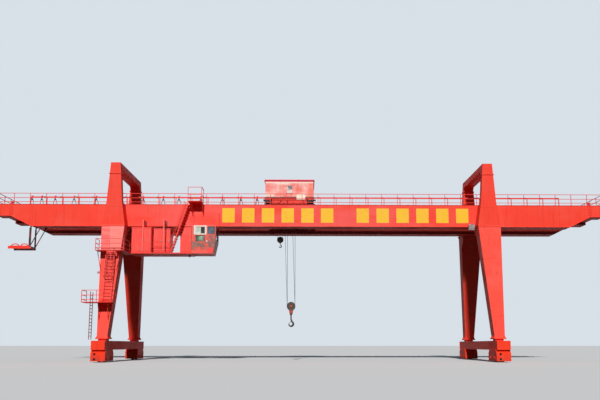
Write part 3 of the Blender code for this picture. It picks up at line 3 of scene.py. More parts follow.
import bmesh
import bpy
import numpy as np
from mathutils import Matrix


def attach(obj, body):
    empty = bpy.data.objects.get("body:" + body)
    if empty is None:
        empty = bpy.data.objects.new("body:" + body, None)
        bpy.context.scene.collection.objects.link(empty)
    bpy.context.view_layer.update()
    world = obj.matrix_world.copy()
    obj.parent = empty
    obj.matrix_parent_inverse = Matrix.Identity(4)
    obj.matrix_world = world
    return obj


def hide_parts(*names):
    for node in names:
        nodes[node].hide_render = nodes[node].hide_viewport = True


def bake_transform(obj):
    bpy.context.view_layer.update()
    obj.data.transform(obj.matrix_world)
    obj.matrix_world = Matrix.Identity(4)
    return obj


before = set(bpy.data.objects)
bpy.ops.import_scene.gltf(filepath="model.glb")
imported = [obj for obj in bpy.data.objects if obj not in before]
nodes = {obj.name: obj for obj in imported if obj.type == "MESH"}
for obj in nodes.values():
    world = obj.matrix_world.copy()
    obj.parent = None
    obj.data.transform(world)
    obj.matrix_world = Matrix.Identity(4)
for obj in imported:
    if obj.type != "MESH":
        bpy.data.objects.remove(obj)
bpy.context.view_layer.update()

# The camera stands 34.5 m in front of the model at eye height, looking 8.6 degrees up, as the photograph was
# taken. The photograph is cropped, so the optical axis lies below the picture's middle.
eye = bpy.data.objects.new("eye", bpy.data.cameras.new("eye"))
bpy.context.collection.objects.link(eye)
eye.location = (0.095, -34.5, 0.73)
eye.rotation_euler = (math.radians(98.61), 0.0, math.radians(-0.86))
eye.data.sensor_width = 36.0
eye.data.lens = 43.2
eye.data.shift_x = -0.0247
eye.data.shift_y = 0.06
eye.data.clip_end = 2000.0
bpy.context.scene.camera = eye

# The festoon cable is a dark rubber cable that carries power to the trolley. It hangs in a loop between each
# pair of carriers under the track on the rear girder, lies over a round saddle at each, and ends at the
# trolley's tow arm.


class Amount:
    """A socket of a material; sums, differences, products and quotients of it add their Math nodes."""

    def __init__(self, tree, socket):
        self.tree, self.socket = tree, socket

    def of(self, operation, other=None):
        return self.tree.node("ShaderNodeMath", {"operation": operation}, {0: self, 1: other})

    def __add__(self, other):
        return self.of("ADD", other)

    def __mul__(self, other):
        return self.of("MULTIPLY", other)

    def __sub__(self, other):
        return self.of("SUBTRACT", other)

    def __truediv__(self, other):
        return self.of("DIVIDE", other)

    def __rsub__(self, other):
        return self.tree.node("ShaderNodeMath", {"operation": "SUBTRACT"}, {0: other, 1: self})

    def __rtruediv__(self, other):
        return self.tree.node("ShaderNodeMath", {"operation": "DIVIDE"}, {0: other, 1: self})

    __radd__ = __add__
    __rmul__ = __mul__

    def between(self, low, high):
        """0 below low, 1 above high and a smooth step between them; the other way round where high is the
        lower."""
        settings = {"interpolation_type": "SMOOTHSTEP"}
        return self.tree.node("ShaderNodeMapRange", settings,
                              {"Value": self, "From Min": low, "From Max": high})

    def inside(self, low, high, soft=0.003):
        """1 from low to high and 0 outside, with soft edges."""
        return self.between(low - soft, low + soft) * self.between(high + soft, high - soft)

    def lines(self, pitch, width, shift=0.0):
        """1 on a thin line at each whole number of pitches from shift, and 0 between them."""
        off = (((self - shift) / pitch + 0.5).of("FRACT") - 0.5).of("ABSOLUTE") * pitch
        return off.between(width, 0.4 * width)


class Tree:
    """A node tree; node() adds any node and gives one of its outputs as an Amount."""

    def __init__(self, tree):
        self.tree = tree

    def feed(self, socket, value):
        if isinstance(value, Amount):
            self.tree.links.new(value.socket, socket)
        elif value is not None:
            socket.default_value = value

    def node(self, kind, settings, sockets, output=0):
        """The settings come first, among them a ramp's stops as pairs of place and colour, then the
        sockets."""
        node = self.tree.nodes.new(kind)
        for key, value in settings.items():
            if key == "stops":
                stops = node.color_ramp.elements
                stops.remove(stops[-1])
                stops[0].position, stops[0].color = value[0]
                for place, colour in value[1:]:
                    stops.new(place).color = colour
            else:
                setattr(node, key, value)
        for key, value in sockets.items():
            self.feed(node.inputs[key], value)
        return Amount(self, node.outputs[output])


class Paint(Tree):
    """One material: a Principled shader and the place on the object in metres."""

    def __init__(self, name, roughness=0.5, metallic=0.0, coat=0.0, gloss=0.5):
        self.material = bpy.data.materials.new(name)
        self.material.use_nodes = True
        super().__init__(self.material.node_tree)
        self.shader = self.tree.nodes["Principled BSDF"]
        self.shader.inputs["Roughness"].default_value = roughness
        self.shader.inputs["Metallic"].default_value = metallic
        self.shader.inputs["Coat Weight"].default_value = coat
        self.shader.inputs["Specular IOR Level"].default_value = gloss
        self.place = self.node("ShaderNodeTexCoord", {}, {}, "Object")

    def axes(self):
        """The place on the object, as three amounts along X, Y and Z."""
        return [self.node("ShaderNodeSeparateXYZ", {}, {0: self.place}, i) for i in range(3)]

    def cloud(self, size, stretch=(1.0, 1.0, 1.0), detail=3.0, shift=0.0):
        """Noise whose patches are about size metres across, times stretch along each axis."""
        scale = tuple(1.0 / (size * s) for s in stretch)
        sockets = {"Vector": self.place, "Scale": scale, "Location": (shift,) * 3}
        where = self.node("ShaderNodeMapping", {}, sockets)
        return self.node("ShaderNodeTexNoise", {}, {"Vector": where, "Scale": 1.0, "Detail": detail})

    def blend(self, amount, first, second):
        """The first colour where the amount is 0 and the second where it is 1."""
        return self.node("ShaderNodeMix", {"data_type": "RGBA"}, {0: amount, 6: first, 7: second}, 2)

    def over(self, colour, *layers):
        """The colour with layers of (amount, red, green, blue) laid over it in turn."""
        for amount, *shade in layers:
            colour = self.blend(amount, colour, tint(*shade))
        return colour

    def show(self, colour=None, rough=None, height=None, rise=0.001, metal=None):
        """Feeds the colour, roughness and metal, and a height in units of rise metres as a bump."""
        self.feed(self.shader.inputs["Base Color"], colour)
        self.feed(self.shader.inputs["Roughness"], rough)
        self.feed(self.shader.inputs["Metallic"], metal)
        if height is not None:
            bump = {"Height": height, "Distance": rise, "Strength": 1.0}
            self.feed(self.shader.inputs["Normal"], self.node("ShaderNodeBump", {}, bump))
        return self.material


def tint(red, green, blue):
    """A colour given as on a screen, 0 to 255 a channel, as linear light."""
    screen = np.array((red, green, blue)) / 255.0
    return (*(((screen + 0.055) / 1.055) ** 2.4), 1.0)


def circle(radius, sides, start=0.0):
    """Points radius * (cos a, sin a) at even angles a."""
    a = start + np.arange(sides) * 2 * np.pi / sides
    return radius * np.stack([np.cos(a), np.sin(a)], 1)


def skin(grid, capped=True):
    """Quads between the rings of a grid of points, with the first and last ring capped or else joined."""
    rows, count = grid.shape[:2]
    i, j = np.meshgrid(np.arange(rows - 1 if capped else rows), np.arange(count), indexing="ij")
    k, n = (i + 1) % rows, (j + 1) % count
    corners = (i * count + j, i * count + n, k * count + n, k * count + j)
    faces = np.stack(corners, -1).reshape(-1, 4).tolist()
    if capped:
        faces += [list(range(count)), list(range((rows - 1) * count, rows * count))]
    return grid.reshape(-1, 3), faces


def carried(profile, path, up=(0.0, 0.0, 1.0), grow=None):
    """A profile of (s, u) carried along a path: path_i + s * side_i + u * over_i, where side_i is the
    path's direction crossed with up, and over_i is side_i crossed with the direction. grow scales each
    ring."""
    path = np.asarray(path, float)
    ahead = np.gradient(path, axis=0)
    ahead /= np.linalg.norm(ahead, axis=1, keepdims=True)
    side = np.cross(ahead, up)
    side /= np.linalg.norm(side, axis=1, keepdims=True)
    over = np.cross(side, ahead)
    profile = np.repeat(np.asarray(profile, float)[None], len(path), 0)
    if grow is not None:
        profile = profile * np.asarray(grow)[:, None, None]
    return skin(path[:, None] + profile[..., :1] * side[:, None] + profile[..., 1:] * over[:, None])


def make(name, shapes, paint, body, crease=40.0, edge=0.0):
    """Joins shapes into one object at the origin, faces outward, smooth but for creases over the angle;
    edge is the width in metres of a bevel round its sharp edges."""
    starts = np.cumsum([0] + [len(points) for points, _ in shapes]).tolist()
    faces = [[start + v for v in face] for start, (_, skins) in zip(starts, shapes) for face in skins]
    mesh = bpy.data.meshes.new(name)
    mesh.from_pydata(np.concatenate([points for points, _ in shapes]).tolist(), [], faces)
    work = bmesh.new()
    work.from_mesh(mesh)
    bmesh.ops.recalc_face_normals(work, faces=work.faces)
    work.to_mesh(mesh)
    work.free()
    mesh.shade_smooth()
    mesh.set_sharp_from_angle(angle=math.radians(crease))
    mesh.materials.append(paint)
    thing = bpy.data.objects.new(name, mesh)
    bpy.context.collection.objects.link(thing)
    if edge:
        bevel = thing.modifiers.new("edge", "BEVEL")
        bevel.width = edge
        bevel.segments = 2
        bevel.harden_normals = True
    if body:
        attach(thing, body)
    return thing


carrier_x = (-13.6, -13.12, -12.45, -11.5, -10.39, -9.2, -8.03, -7.02, -6.23, -5.13, -4.04, -3.1, -2.28)
cable_y, cable_top, cable_low = 1.2922, 7.96, 7.235
cable_end, cable_radius, saddle_radius = -1.7903, 0.0125, 0.055


def hanging_loop(first, last, sag, count):
    """Half a catenary either side of its middle: z = a (cosh(x / a) - cosh(k)), where k = span / 2a is
    found by halving so that the sag is right; its points are even along its length."""
    low, high = 0.01, 12.0
    for _ in range(60):
        k = (low + high) / 2
        low, high = (k, high) if (math.cosh(k) - 1) / (2 * k) < sag / (last - first) else (low, k)
    a = (last - first) / (2 * k)
    x = np.arcsinh(np.linspace(-1, 1, count) * math.sinh(k))
    return np.stack([(first + last) / 2 + a * x, a * (np.cosh(x) - math.cosh(k))], 1)


def festoon_line():
    """The cable's centre line: half circles over the saddles joined by hanging loops, then smoothed along
    it."""
    ends = (*carrier_x, cable_end - saddle_radius)
    over = np.linspace(np.pi, 0, 13)
    hump = saddle_radius * np.stack([np.cos(over), np.sin(over)], 1)
    parts = [hump[6:] + (ends[0], 0.0)]
    for first, last in zip(ends, ends[1:]):
        loop = hanging_loop(first + saddle_radius, last - saddle_radius, cable_top - cable_low, 60)
        parts += [loop[1:-1], hump + (last, 0.0)]
    parts[-1] = parts[-1][:7]
    line = np.concatenate(parts)
    for _ in range(12):
        line[1:-1] = line[1:-1] / 2 + (line[:-2] + line[2:]) / 4
    line = np.vstack([line, [(cable_end, saddle_radius)]])
    return np.stack([line[:, 0], np.full(len(line), cable_y), line[:, 1] + cable_top], 1)


def mottled(name, look, size, detail, limits, first, second, rough, more, rise=None):
    """A material of two shades in patches of noise about size metres across, the second where the noise
    passes the limits. There it is rougher by more, and stands rise metres higher if there is a rise. look
    holds the arguments of Paint after the name."""
    paint = Paint(name, *look)
    patch = paint.cloud(size, detail=detail).between(*limits)
    colour = paint.blend(patch, tint(*first), tint(*second))
    return paint.show(colour, rough + more * patch, patch if rise else None, rise)


sheath_paint = mottled("rubber sheath", (0.55,), 0.08, 3.0, (0.45, 0.7), (28, 33, 52), (48, 50, 62), 0.45,
                       0.2, 0.0005)
line = festoon_line()
cable_run = [carried(circle(cable_radius, 10), line, (0, 1, 0))]
festoon = make("festoon_cable_run", cable_run, sheath_paint, None)
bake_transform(festoon)
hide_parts("festoon_cable")

# A plain pale floor and a pale surround, one soft sun in front of the crane and a weak sky, so that paint
# shows at about its own colour. The floor throws back little light, as asphalt does. None of it is part of
# the crane.


def plainly_seen(tree):
    """1 for rays from the camera, also by way of polished metal or glass, and 0 for all other light."""
    kinds = ("Is Camera Ray", "Is Glossy Ray", "Is Transmission Ray")
    rays = [tree.node("ShaderNodeLightPath", {}, {}, kind) for kind in kinds]
    return rays[0] + rays[1] + rays[2]


floor = bpy.data.objects.new("floor", bpy.data.meshes.new("floor"))
floor.data.from_pydata([(-600, -600, 0), (600, -600, 0), (600, 600, 0), (-600, 600, 0)], [], [(0, 1, 2, 3)])
bpy.context.collection.objects.link(floor)
ground = Paint("pale floor")
shown = ground.node("ShaderNodeBsdfDiffuse", {}, {"Color": tint(246, 246, 244)})
thrown = ground.node("ShaderNodeBsdfDiffuse", {}, {"Color": tint(52, 50, 48)})
either = ground.node("ShaderNodeMixShader", {}, {0: plainly_seen(ground), 1: thrown, 2: shown})
ground.feed(ground.tree.nodes["Material Output"].inputs["Surface"], either)
floor.data.materials.append(ground.material)
sun = bpy.data.objects.new("sun", bpy.data.lights.new("sun", "SUN"))
sun.data.energy = 3.35
sun.data.angle = math.radians(4)
sun.rotation_euler = (math.radians(60), 0.0, math.radians(-3.3))
bpy.context.collection.objects.link(sun)
bpy.context.scene.world = bpy.data.worlds.new("surround")
bpy.context.scene.world.use_nodes = True
around = Tree(bpy.context.scene.world.node_tree)
sky = around.node("ShaderNodeBackground", {}, {"Color": tint(206, 222, 244), "Strength": 0.12})
backdrop = around.node("ShaderNodeBackground", {}, {"Color": tint(216, 224, 232), "Strength": 1.0})
either = around.node("ShaderNodeMixShader", {}, {0: plainly_seen(around), 1: sky, 2: backdrop})
around.feed(around.tree.nodes["World Output"].inputs["Surface"], either)
bpy.context.scene.view_settings.view_transform = "Standard"

# Each pair of legs stands on a box beam of welded plate, which runs on two bogies. A bogie is a pair of
# flanged wheels between two thick cheeks, whose axles are held by round caps, all painted a fresher
# orange-red than the rest.
fresh_red = tint(250, 62, 40)
faded_red = tint(250, 98, 84)
sooty_red = tint(112, 22, 18)
sides_x, order = (-8.58, 8.58), [(2, 0, 1), (0, 2, 1), (0, 1, 2)]


def plate_red(name, base, seams=(0.0, 0.0), fade=0.35, streaks=0.22, roughness=0.55):
    """Red plate with clouds of fading, streaks that run down, pale scuffs and a dark line at each weld:
    seams are pitches along X and Z, 0 for none. Gives the paint, its colour, roughness and height."""
    paint = Paint(name, roughness, gloss=0.2)
    x, _, z = paint.axes()
    chalk = paint.cloud(1.6, (1.0, 1.0, 0.7)).between(0.42, 0.72)
    streak = paint.cloud(0.09, (1.0, 1.0, 16.0), 4.0).between(0.52, 0.8)
    scuff = paint.cloud(0.35, detail=6.0).between(0.62, 0.76)
    colour = paint.blend(streak * streaks, paint.blend(chalk * fade, base, faded_red), sooty_red)
    colour = paint.over(colour, (scuff * 0.1, 255, 150, 130))
    height = 2.0 * paint.cloud(0.9, detail=1.0)
    for axis, pitch in ((x, seams[0]), (z, seams[1])):
        if pitch:
            weld = axis.lines(pitch, 0.007, pitch / 2)
            colour = paint.blend(weld * 0.3, colour, sooty_red)
            height = height + weld
    return paint, colour, roughness + 0.15 * chalk + 0.1 * streak, height


def dress(material, *names):
    """Gives CAD nodes a material of the scene's own."""
    for name in names:
        for slot in nodes[name].material_slots:
            slot.material = material


def spun(profile, centre, axis=1, sides=32, capped=True):
    """Rings r_i * (cos a, sin a) about an axis at heights h_i, capped at both ends or closed into a hollow
    ring."""
    profile = np.asarray(profile, float)
    across = profile[:, None, :1] * circle(1.0, sides)[None]
    along = np.repeat(profile[:, None, 1:], sides, 1)
    return skin(np.concatenate([across, along], -1)[..., order[axis]] + np.asarray(centre, float), capped)


def pushed(outline, axis, low, high):
    """A flat outline pushed along an axis between two heights, given in either order."""
    outline = np.asarray(outline, float)
    grid = np.stack([np.column_stack([outline, np.full(len(outline), h)]) for h in sorted((low, high))])
    return skin(grid[..., order[axis]])


def spots(xs, ys, zs):
    """All combinations of the given places along X, Y and Z."""
    return np.array(np.meshgrid(xs, ys, zs)).reshape(3, -1).T


def scattered(shape, places):
    """A shape copied to each place: its points plus the place, as one array."""
    points, faces = shape
    places = np.asarray(places, float).reshape(-1, 3)
    moved = (points[None] + places[:, None]).reshape(-1, 3)
    return moved, [[v + k * len(points) for v in face] for k in range(len(places)) for face in faces]


def bolts(places, axis, radius, height):
    """Hexagonal heads on washers at each place, standing height proud along an axis, or down where it is
    negative."""
    washer = pushed(circle(1.25 * radius, 12), axis, 0.0, 0.2 * height)
    head = pushed(circle(radius, 6), axis, 0.1 * height, height)
    return [scattered(washer, places), scattered(head, places)]


paint, colour, rough, height = plate_red("ground beam paint", tint(252, 58, 24), (0.0, 0.0), 0.15, 0.3)
z = paint.axes()[2]
splash = z.between(0.42, 0.05) * paint.cloud(0.2, detail=5.0).between(0.3, 0.75)
ground_paint = paint.show(paint.blend(splash * 0.55, colour, tint(96, 66, 52)), rough + 0.1 * splash, height,
                          0.002)
dress(ground_paint, "left_ground_beam", "right_ground_beam", "front_left_bogie", "front_right_bogie",
      "rear_left_bogie", "rear_right_bogie")

cap = [(0.088, 0.0), (0.088, 0.009), (0.06, 0.012), (0.052, 0.03), (0.034, 0.036)]
caps, cap_bolts = [], []
for way in (-1, 1):
    faces_x = [x + way * 0.31 for x in sides_x]
    wheels = spots(faces_x, (-3.36, -2.64, 2.64, 3.36), (0.18,))
    caps.append(scattered(spun([(r, way * h) for r, h in cap], (0, 0, 0), 0, 28), wheels))
    turn = circle(0.073, 6, math.pi / 6)
    ring = (wheels[:, None] + np.column_stack([np.full(6, way * 0.009), turn])[None]).reshape(-1, 3)
    cap_bolts += bolts(ring, 0, 0.008, way * 0.009)
make("bogie_axle_caps", caps, ground_paint, "gantry", 30.0)
ends, holes = [], []
for way in (-1, 1):
    lip = [(0.066, 0.0), (0.066, way * 0.008), (0.052, way * 0.008), (0.052, 0.0)]
    places = spots([x - 0.14 for x in sides_x], (way * 3.68,), (0.14, 0.35))
    ends.append(scattered(spun(lip, (0, 0, 0), 1, 24, False), places))
    holes.append(scattered(pushed(circle(0.052, 24), 1, 0.0, way * 0.003), places))
make("bogie_end_bosses", ends, ground_paint, "gantry", 30.0)
grease_paint = mottled("black grease", (0.5, 0.0, 0.0, 0.15), 0.03, 3.0, (0.35, 0.7), (14, 12, 12),
                       (44, 34, 30), 0.3, 0.3, 0.0006)
make("bogie_end_holes", holes, grease_paint, "gantry")

foot_half_x, foot_half_y, feet_y, flange_top = 0.25, 0.305, (-2.875, 2.875), 1.03
flange_bolts = []
for x in sides_x:
    for y in feet_y:
        edge_rows = spots((x - foot_half_x, x + foot_half_x), y + np.linspace(-foot_half_y, foot_half_y, 6),
                          (flange_top,))
        cross_rows = spots(x + np.array((-0.15, -0.05, 0.05, 0.15)), (y - foot_half_y, y + foot_half_y),
                           (flange_top,))
        rows = np.vstack([edge_rows, cross_rows])
        flange_bolts += bolts(rows, 2, 0.014, 0.016) + bolts(rows - (0, 0, 0.03), 2, 0.014, -0.016)
bolt_paint = mottled("bolt paint", (0.5,), 0.012, 4.0, (0.5, 0.66), (206, 44, 30), (96, 52, 40), 0.45, 0.3,
                     -0.0004)
make("foot_flange_bolts", flange_bolts, bolt_paint, "gantry")
make("axle_cap_bolts", cap_bolts, bolt_paint, "gantry")
gussets = []
for way in (-1, 1):
    wing = [(way * 0.219, flange_top), (way * 0.272, flange_top), (way * 0.224, 1.14)]
    places = spots(sides_x, [y + s for y in feet_y for s in (-0.244, 0.0, 0.244)], (0.0,))
    gussets.append(scattered(pushed(wing, 1, -0.006, 0.006), places))
make("foot_gussets", gussets, ground_paint, "gantry")

# The legs are tapered boxes of welded plate that lean outward. The front left leg's head has been painted
# over in two strips, both paler than the rest. A dark joint under the girder closes each head.
paint, colour, rough, height = plate_red("leg paint", tint(250, 70, 50), (0.0, 1.31), 0.7)
z = paint.axes()[2]
colour = paint.blend(z.between(6.07, 6.08), colour, fresh_red)
colour = paint.over(colour, (z.inside(6.062, 6.08, 0.004) * 0.8, 70, 16, 16))
leg_paint = paint.show(colour, rough, height, 0.002)
dress(leg_paint, "front_right_leg", "rear_left_leg", "rear_right_leg")
paint, colour, rough, height = plate_red("repainted leg paint", tint(250, 70, 50), (0.0, 1.31), 0.7)
x, y, z = paint.axes()
brush = paint.cloud(0.05, (14.0, 1.0, 1.0), 3.0).between(0.4, 0.7)
head = z.inside(4.91, 6.07, 0.004) * y.between(-1.55, -1.6)
pale = paint.over(tint(250, 92, 88), (x.between(-8.7, -8.69), 252, 124, 114), (brush * 0.35, 255, 164, 150))
colour = paint.blend(z.between(6.07, 6.08), paint.blend(head, colour, pale), fresh_red)
colour = paint.over(colour, (z.inside(6.062, 6.08, 0.004) * 0.8, 70, 16, 16))
dress(paint.show(colour, rough, height, 0.002), "front_left_leg")

# A saddle of the same plate arches over both girders on each pair of legs. Its cross box is bolted to the two
# posts through collars, with a row of hexagonal bolts above and below.
paint, colour, rough, height = plate_red("plate paint", fresh_red, (0.0, 0.93), 0.3)
dress(paint.show(colour, rough, height, 0.002), "left_saddle", "right_saddle", "left_end_beam",
      "right_end_beam")
collar_bolts = []
for x in sides_x:
    for way in (-1, 1):
        lip_rows = spots((x - 0.271, x + 0.271), way * np.linspace(1.8, 2.08, 5), (0.0,))
        face_row = spots(x + np.linspace(-0.22, 0.22, 7), (way * 2.115,), (0.0,))
        for level, height_out in ((8.55, 0.012), (8.52, -0.012)):
            collar_bolts += bolts(np.vstack([lip_rows, face_row]) + (0, 0, level), 2, 0.01, height_out)
make("saddle_collar_bolts", collar_bolts, bolt_paint, "gantry")

# The two bridge girders are closed boxes of plate, butt welded at even lengths, with a bolted joint near each
# end. The front one carries twelve plain yellow squares. The trolley's rails are clipped to them, with a stop
# at each end.
paint, colour, rough, height = plate_red("girder paint", fresh_red, (1.47, 0.0), 0.4)
x, y, z = paint.axes()
bleached = x.inside(-7.5, 5.5, 2.5) * paint.cloud(0.8, (2.0, 1.0, 0.7)).between(0.25, 0.65)
squares = 0.0
for first, pitch in ((-3.429, 0.919), (2.829, 0.931)):
    off = (((x - first) / pitch + 0.5).of("FRACT") - 0.5).of("ABSOLUTE") * pitch
    squares = squares + off.between(0.294, 0.286) * x.inside(first - pitch / 2, first + 5.5 * pitch)
squares = squares * z.inside(6.36, 7.04, 0.004) * y.between(-1.44, -1.45)
worn = paint.cloud(0.1, detail=6.0).between(0.6, 0.68)
rust = z.inside(6.13, 6.186, 0.01) * paint.cloud(0.25, (1.0, 1.0, 0.3), 5.0).between(0.45, 0.7)
# The inner webs that face each other across the gap between the girders are darkened: painted shade in that
# gap.
darkening = y.between(-0.76, -0.74) * y.between(0.76, 0.74)
colour = paint.over(colour, (bleached * 0.5, 250, 108, 104), (squares * (1.0 - 0.3 * worn), 252, 192, 48),
                    (rust * 0.5, 120, 42, 26), (darkening * 0.9, 116, 26, 24))
dress(paint.show(colour, rough, height, 0.0025), "front_girder", "rear_girder")

plates, plate_bolts = [], []
for x in (-13.5, 13.5):
    for way in (-1, 1):
        seam = [(x - 0.1, 6.71), (x + 0.1, 6.71), (x + 0.1, 7.16), (x - 0.1, 7.16)]
        plates.append(pushed(seam, 1, way * 1.454, way * 1.462))
        places = spots(x + np.array((-0.07, -0.03, 0.03, 0.07)), (way * 1.462,), np.linspace(6.75, 7.12, 6))
        plate_bolts += bolts(places, 1, 0.011, way * 0.01)
make("girder_joint_plates", plates, leg_paint, "gantry", edge=0.002)
make("girder_joint_bolts", plate_bolts, bolt_paint, "gantry")

rail = Paint("rail steel", 0.4, 0.7)
z = rail.axes()[2]
head = z.between(7.286, 7.2895)
rust = rail.cloud(0.12, (3.0, 1.0, 1.0), 5.0).between(0.35, 0.7)
colour = rail.over(tint(84, 58, 46), (rust, 122, 76, 52), (head, 176, 172, 168))
dress(rail.show(colour, 0.75 - 0.5 * head, rust, 0.0005, 0.2 + 0.75 * head), "front_trolley_rail",
      "rear_trolley_rail")
clip = pushed([(0.036, 7.2103), (0.036, 7.2243), (0.05, 7.2243), (0.062, 7.2183), (0.105, 7.2183),
               (0.105, 7.2103)], 0, -0.03, 0.03)
flip = (clip[0] * (1, -1, 1), clip[1])
clip_x, rails_y, rail_top = np.arange(-13.5, 13.51, 0.6), (-0.9, 0.9), 7.2903
clips = [scattered(shape, spots(clip_x, rails_y, (0.0,))) for shape in (clip, flip)]
clip_bolts = bolts(spots(clip_x, (-0.985, -0.815, 0.815, 0.985), (7.2183,)), 2, 0.01, 0.013)
rusty_paint = mottled("rusty steel", (0.7, 0.3), 0.03, 5.0, (0.35, 0.7), (82, 54, 44), (134, 74, 44), 0.6,
                      0.25, 0.0006)
make("rail_clips", clips, rusty_paint, "gantry")
make("rail_clip_bolts", clip_bolts, rusty_paint, "gantry")
stops = []
for way in (-1, 1):
    wedge = [(way * 13.79, rail_top), (way * 13.64, rail_top), (way * 13.66, 7.46), (way * 13.7, 7.46)]
    nose = [(0.045, way * 13.65), (0.045, way * 13.6), (0.03, way * 13.585)]
    for shape in (pushed(wedge, 1, -0.03, 0.03), spun(nose, (0, 0, 7.4), 0, 20)):
        stops.append(scattered(shape, spots((0,), rails_y, (0,))))
make("trolley_stops", stops, bolt_paint, "gantry", 30.0, 0.002)

# Handrails run along both girders and across both ends. They are small square tube, welded to foot plates and
# brushed with the same red by hand, so that the film is thin, dull in patches and chipped.


def small_red(name, base, chips=0.7):
    """Red on small sections: soft patches of a duller red, and dark chips where a fine noise peaks."""
    paint = Paint(name, 0.5, gloss=0.25)
    dull = paint.cloud(0.3).between(0.45, 0.7)
    chip = paint.cloud(0.02, detail=4.0).between(0.66, 0.72)
    colour = paint.over(base, (dull * 0.35, 212, 84, 72), (chip * chips, 90, 40, 32))
    return paint, colour, 0.45 + 0.25 * dull, dull - chip


def brushed(name, base, chips=0.7):
    """The material of a small red section with nothing laid over it."""
    paint, *coat = small_red(name, base, chips)
    return paint.show(*coat, 0.0006)


railing_paint = brushed("handrail paint", tint(242, 50, 44))
dress(railing_paint, "front_handrail", "rear_handrail", "left_end_handrail", "right_end_handrail")
foot_plate = pushed([(-0.035, -0.03), (0.035, -0.03), (0.035, 0.012), (-0.035, 0.012)], 2, 7.2103, 7.2183)
front_feet = scattered(foot_plate, spots(np.linspace(-14.11, 14.11, 38), (1.46,), (0,)))
rear_feet = (front_feet[0] * (1, -1, 1), front_feet[1])
make("handrail_feet", [front_feet, rear_feet], railing_paint, "gantry")

# The festoon track is a bar on posts along the rear girder. Each carrier is a bent plate on two small wheels
# that roll on the bar, with a half-round saddle that the cable lies over.
dress(brushed("track paint", tint(238, 54, 50)), "festoon_track")
clamp = pushed([(1.28, 8.06), (1.3047, 8.06), (1.3047, 8.138), (1.28, 8.138)], 0, -0.045, 0.045)
clamp_places = [(x - 0.1, 0.0, 0.0) for x in np.linspace(-13.685, 13.065, 34)[1:]]
clamped_paint = brushed("clamp paint", tint(112, 24, 32), 0.4)
make("track_clamps", [scattered(clamp, clamp_places)], clamped_paint, "gantry")
hanger = [(1.2682, 7.93), (1.2682, 8.182), (1.352, 8.182), (1.352, 8.16), (1.348, 8.16), (1.348, 8.178),
          (1.2722, 8.178), (1.2722, 7.93)]
hanger = pushed(hanger, 0, -0.03, 0.03)
wheel = spun([(0.012, -0.03), (0.0188, -0.028), (0.018, 0.0), (0.0188, 0.014), (0.012, 0.016)],
             (0, 1.33, 8.159), 1, 16)
wheels = scattered(wheel, [(-0.018, 0, 0), (0.018, 0, 0)])
arc = np.linspace(0, np.pi, 13)[:, None]
half_moon = 0.0423 * np.column_stack([np.cos(arc), np.sin(arc)]) + (0.0, cable_top)
saddle = pushed(half_moon, 1, 1.2722, 1.3046)
carrier_places = [(x, 0.0, 0.0) for x in carrier_x]
blued = Paint("dull carrier steel", 0.6, 0.2)
bloom = blued.cloud(0.03, detail=4.0).between(0.35, 0.7)
colour = blued.over(tint(40, 42, 60), (bloom, 92, 62, 70), (blued.axes()[2].between(8.06, 8.08), 226, 58, 54))
carrier_paint = blued.show(colour, 0.5 + 0.3 * bloom, bloom, 0.0004)
zinc_paint = mottled("dulled zinc", (0.5, 0.4), 0.03, 4.0, (0.35, 0.7), (112, 104, 104), (150, 140, 138), 0.4,
                     0.3, 0.0004)
carriers = make("festoon_carriers", [scattered(shape, carrier_places) for shape in (hanger, wheels, saddle)],
                carrier_paint, None)
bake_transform(carriers)

# A gallery of chequered plate hangs from the girder's face on straps. On it stand two switchgear houses and a
# tall cabinet of folded sheet, each with hinged leaves, handles, louvres at the back and a lipped roof.


def tread_plate(name, base, level, guard=False):
    """Small-section red whose surface at a level along Z carries raised bars, crossed both ways. With
    guard, the gallery's straps carry a painted highlight that makes them paler than its floor, and its guard
    rail is darker."""
    paint, colour, rough, height = small_red(name, base)
    x, y, z = paint.axes()
    bars = (x + y).lines(0.05, 0.007) * (x - y).lines(0.1, 0.026)
    bars = bars + (x - y).lines(0.05, 0.007) * (x + y).lines(0.1, 0.026, 0.05)
    top = z.inside(level - 0.001, level + 0.001, 0.004)
    colour = paint.over(colour, (paint.cloud(0.5, detail=4.0).between(0.45, 0.7) * top * 0.5, 120, 56, 46))
    if guard:
        # The straps above the gallery floor are painted paler: a painted highlight.
        strap_highlight = x.inside(-7.308, -7.252, 0.002) + x.inside(-6.363, -6.307, 0.002)
        rail = x.inside(-6.93, -6.15, 0.01) * z.inside(4.93, 5.6, 0.01)
        colour = paint.over(colour, (rail * 0.85, 150, 30, 30),
                            (strap_highlight * z.between(4.95, 4.97) * 0.8, 252, 116, 104))
    return paint.show(colour, rough, height + 2.5 * (bars * top), 0.0008)


dress(tread_plate("gallery paint", tint(248, 60, 44), 4.9, guard=True), "gallery")
# The strap brackets take the dark clamp red: painted shade, for the shadow above each strap.
wedge = [(-1.4756, 6.19), (-1.4756, 6.41), (-1.5, 6.41), (-1.555, 6.23), (-1.555, 6.19)]
make("gallery_strap_brackets", [pushed(wedge, 0, x + 0.0258, x + 0.078) for x in (-7.28, -6.335)],
     clamped_paint, "gantry")


def sheet_red(name, base):
    """Red on folded sheet: even, a little pink, with soft pale streaks down it and grime along the foot."""
    paint = Paint(name, 0.5, gloss=0.2)
    run = paint.cloud(0.06, (1.0, 1.0, 18.0), 3.0).between(0.45, 0.75)
    pale = paint.cloud(0.7).between(0.4, 0.7)
    foot = paint.axes()[2].between(5.1, 4.92) * paint.cloud(0.08, (1.0, 1.0, 2.0), 4.0).between(0.35, 0.6)
    colour = paint.over(base, (pale * 0.5, 250, 96, 88), (run * 0.3, 255, 128, 118))
    colour = paint.blend(foot * 0.35, colour, sooty_red)
    return paint.show(colour, 0.45 + 0.2 * run, paint.cloud(0.5, detail=1.0), 0.0015)


house_paint = sheet_red("house paint", tint(250, 72, 60))
dress(house_paint, "electrical_house_left", "electrical_house_right", "cabinet")


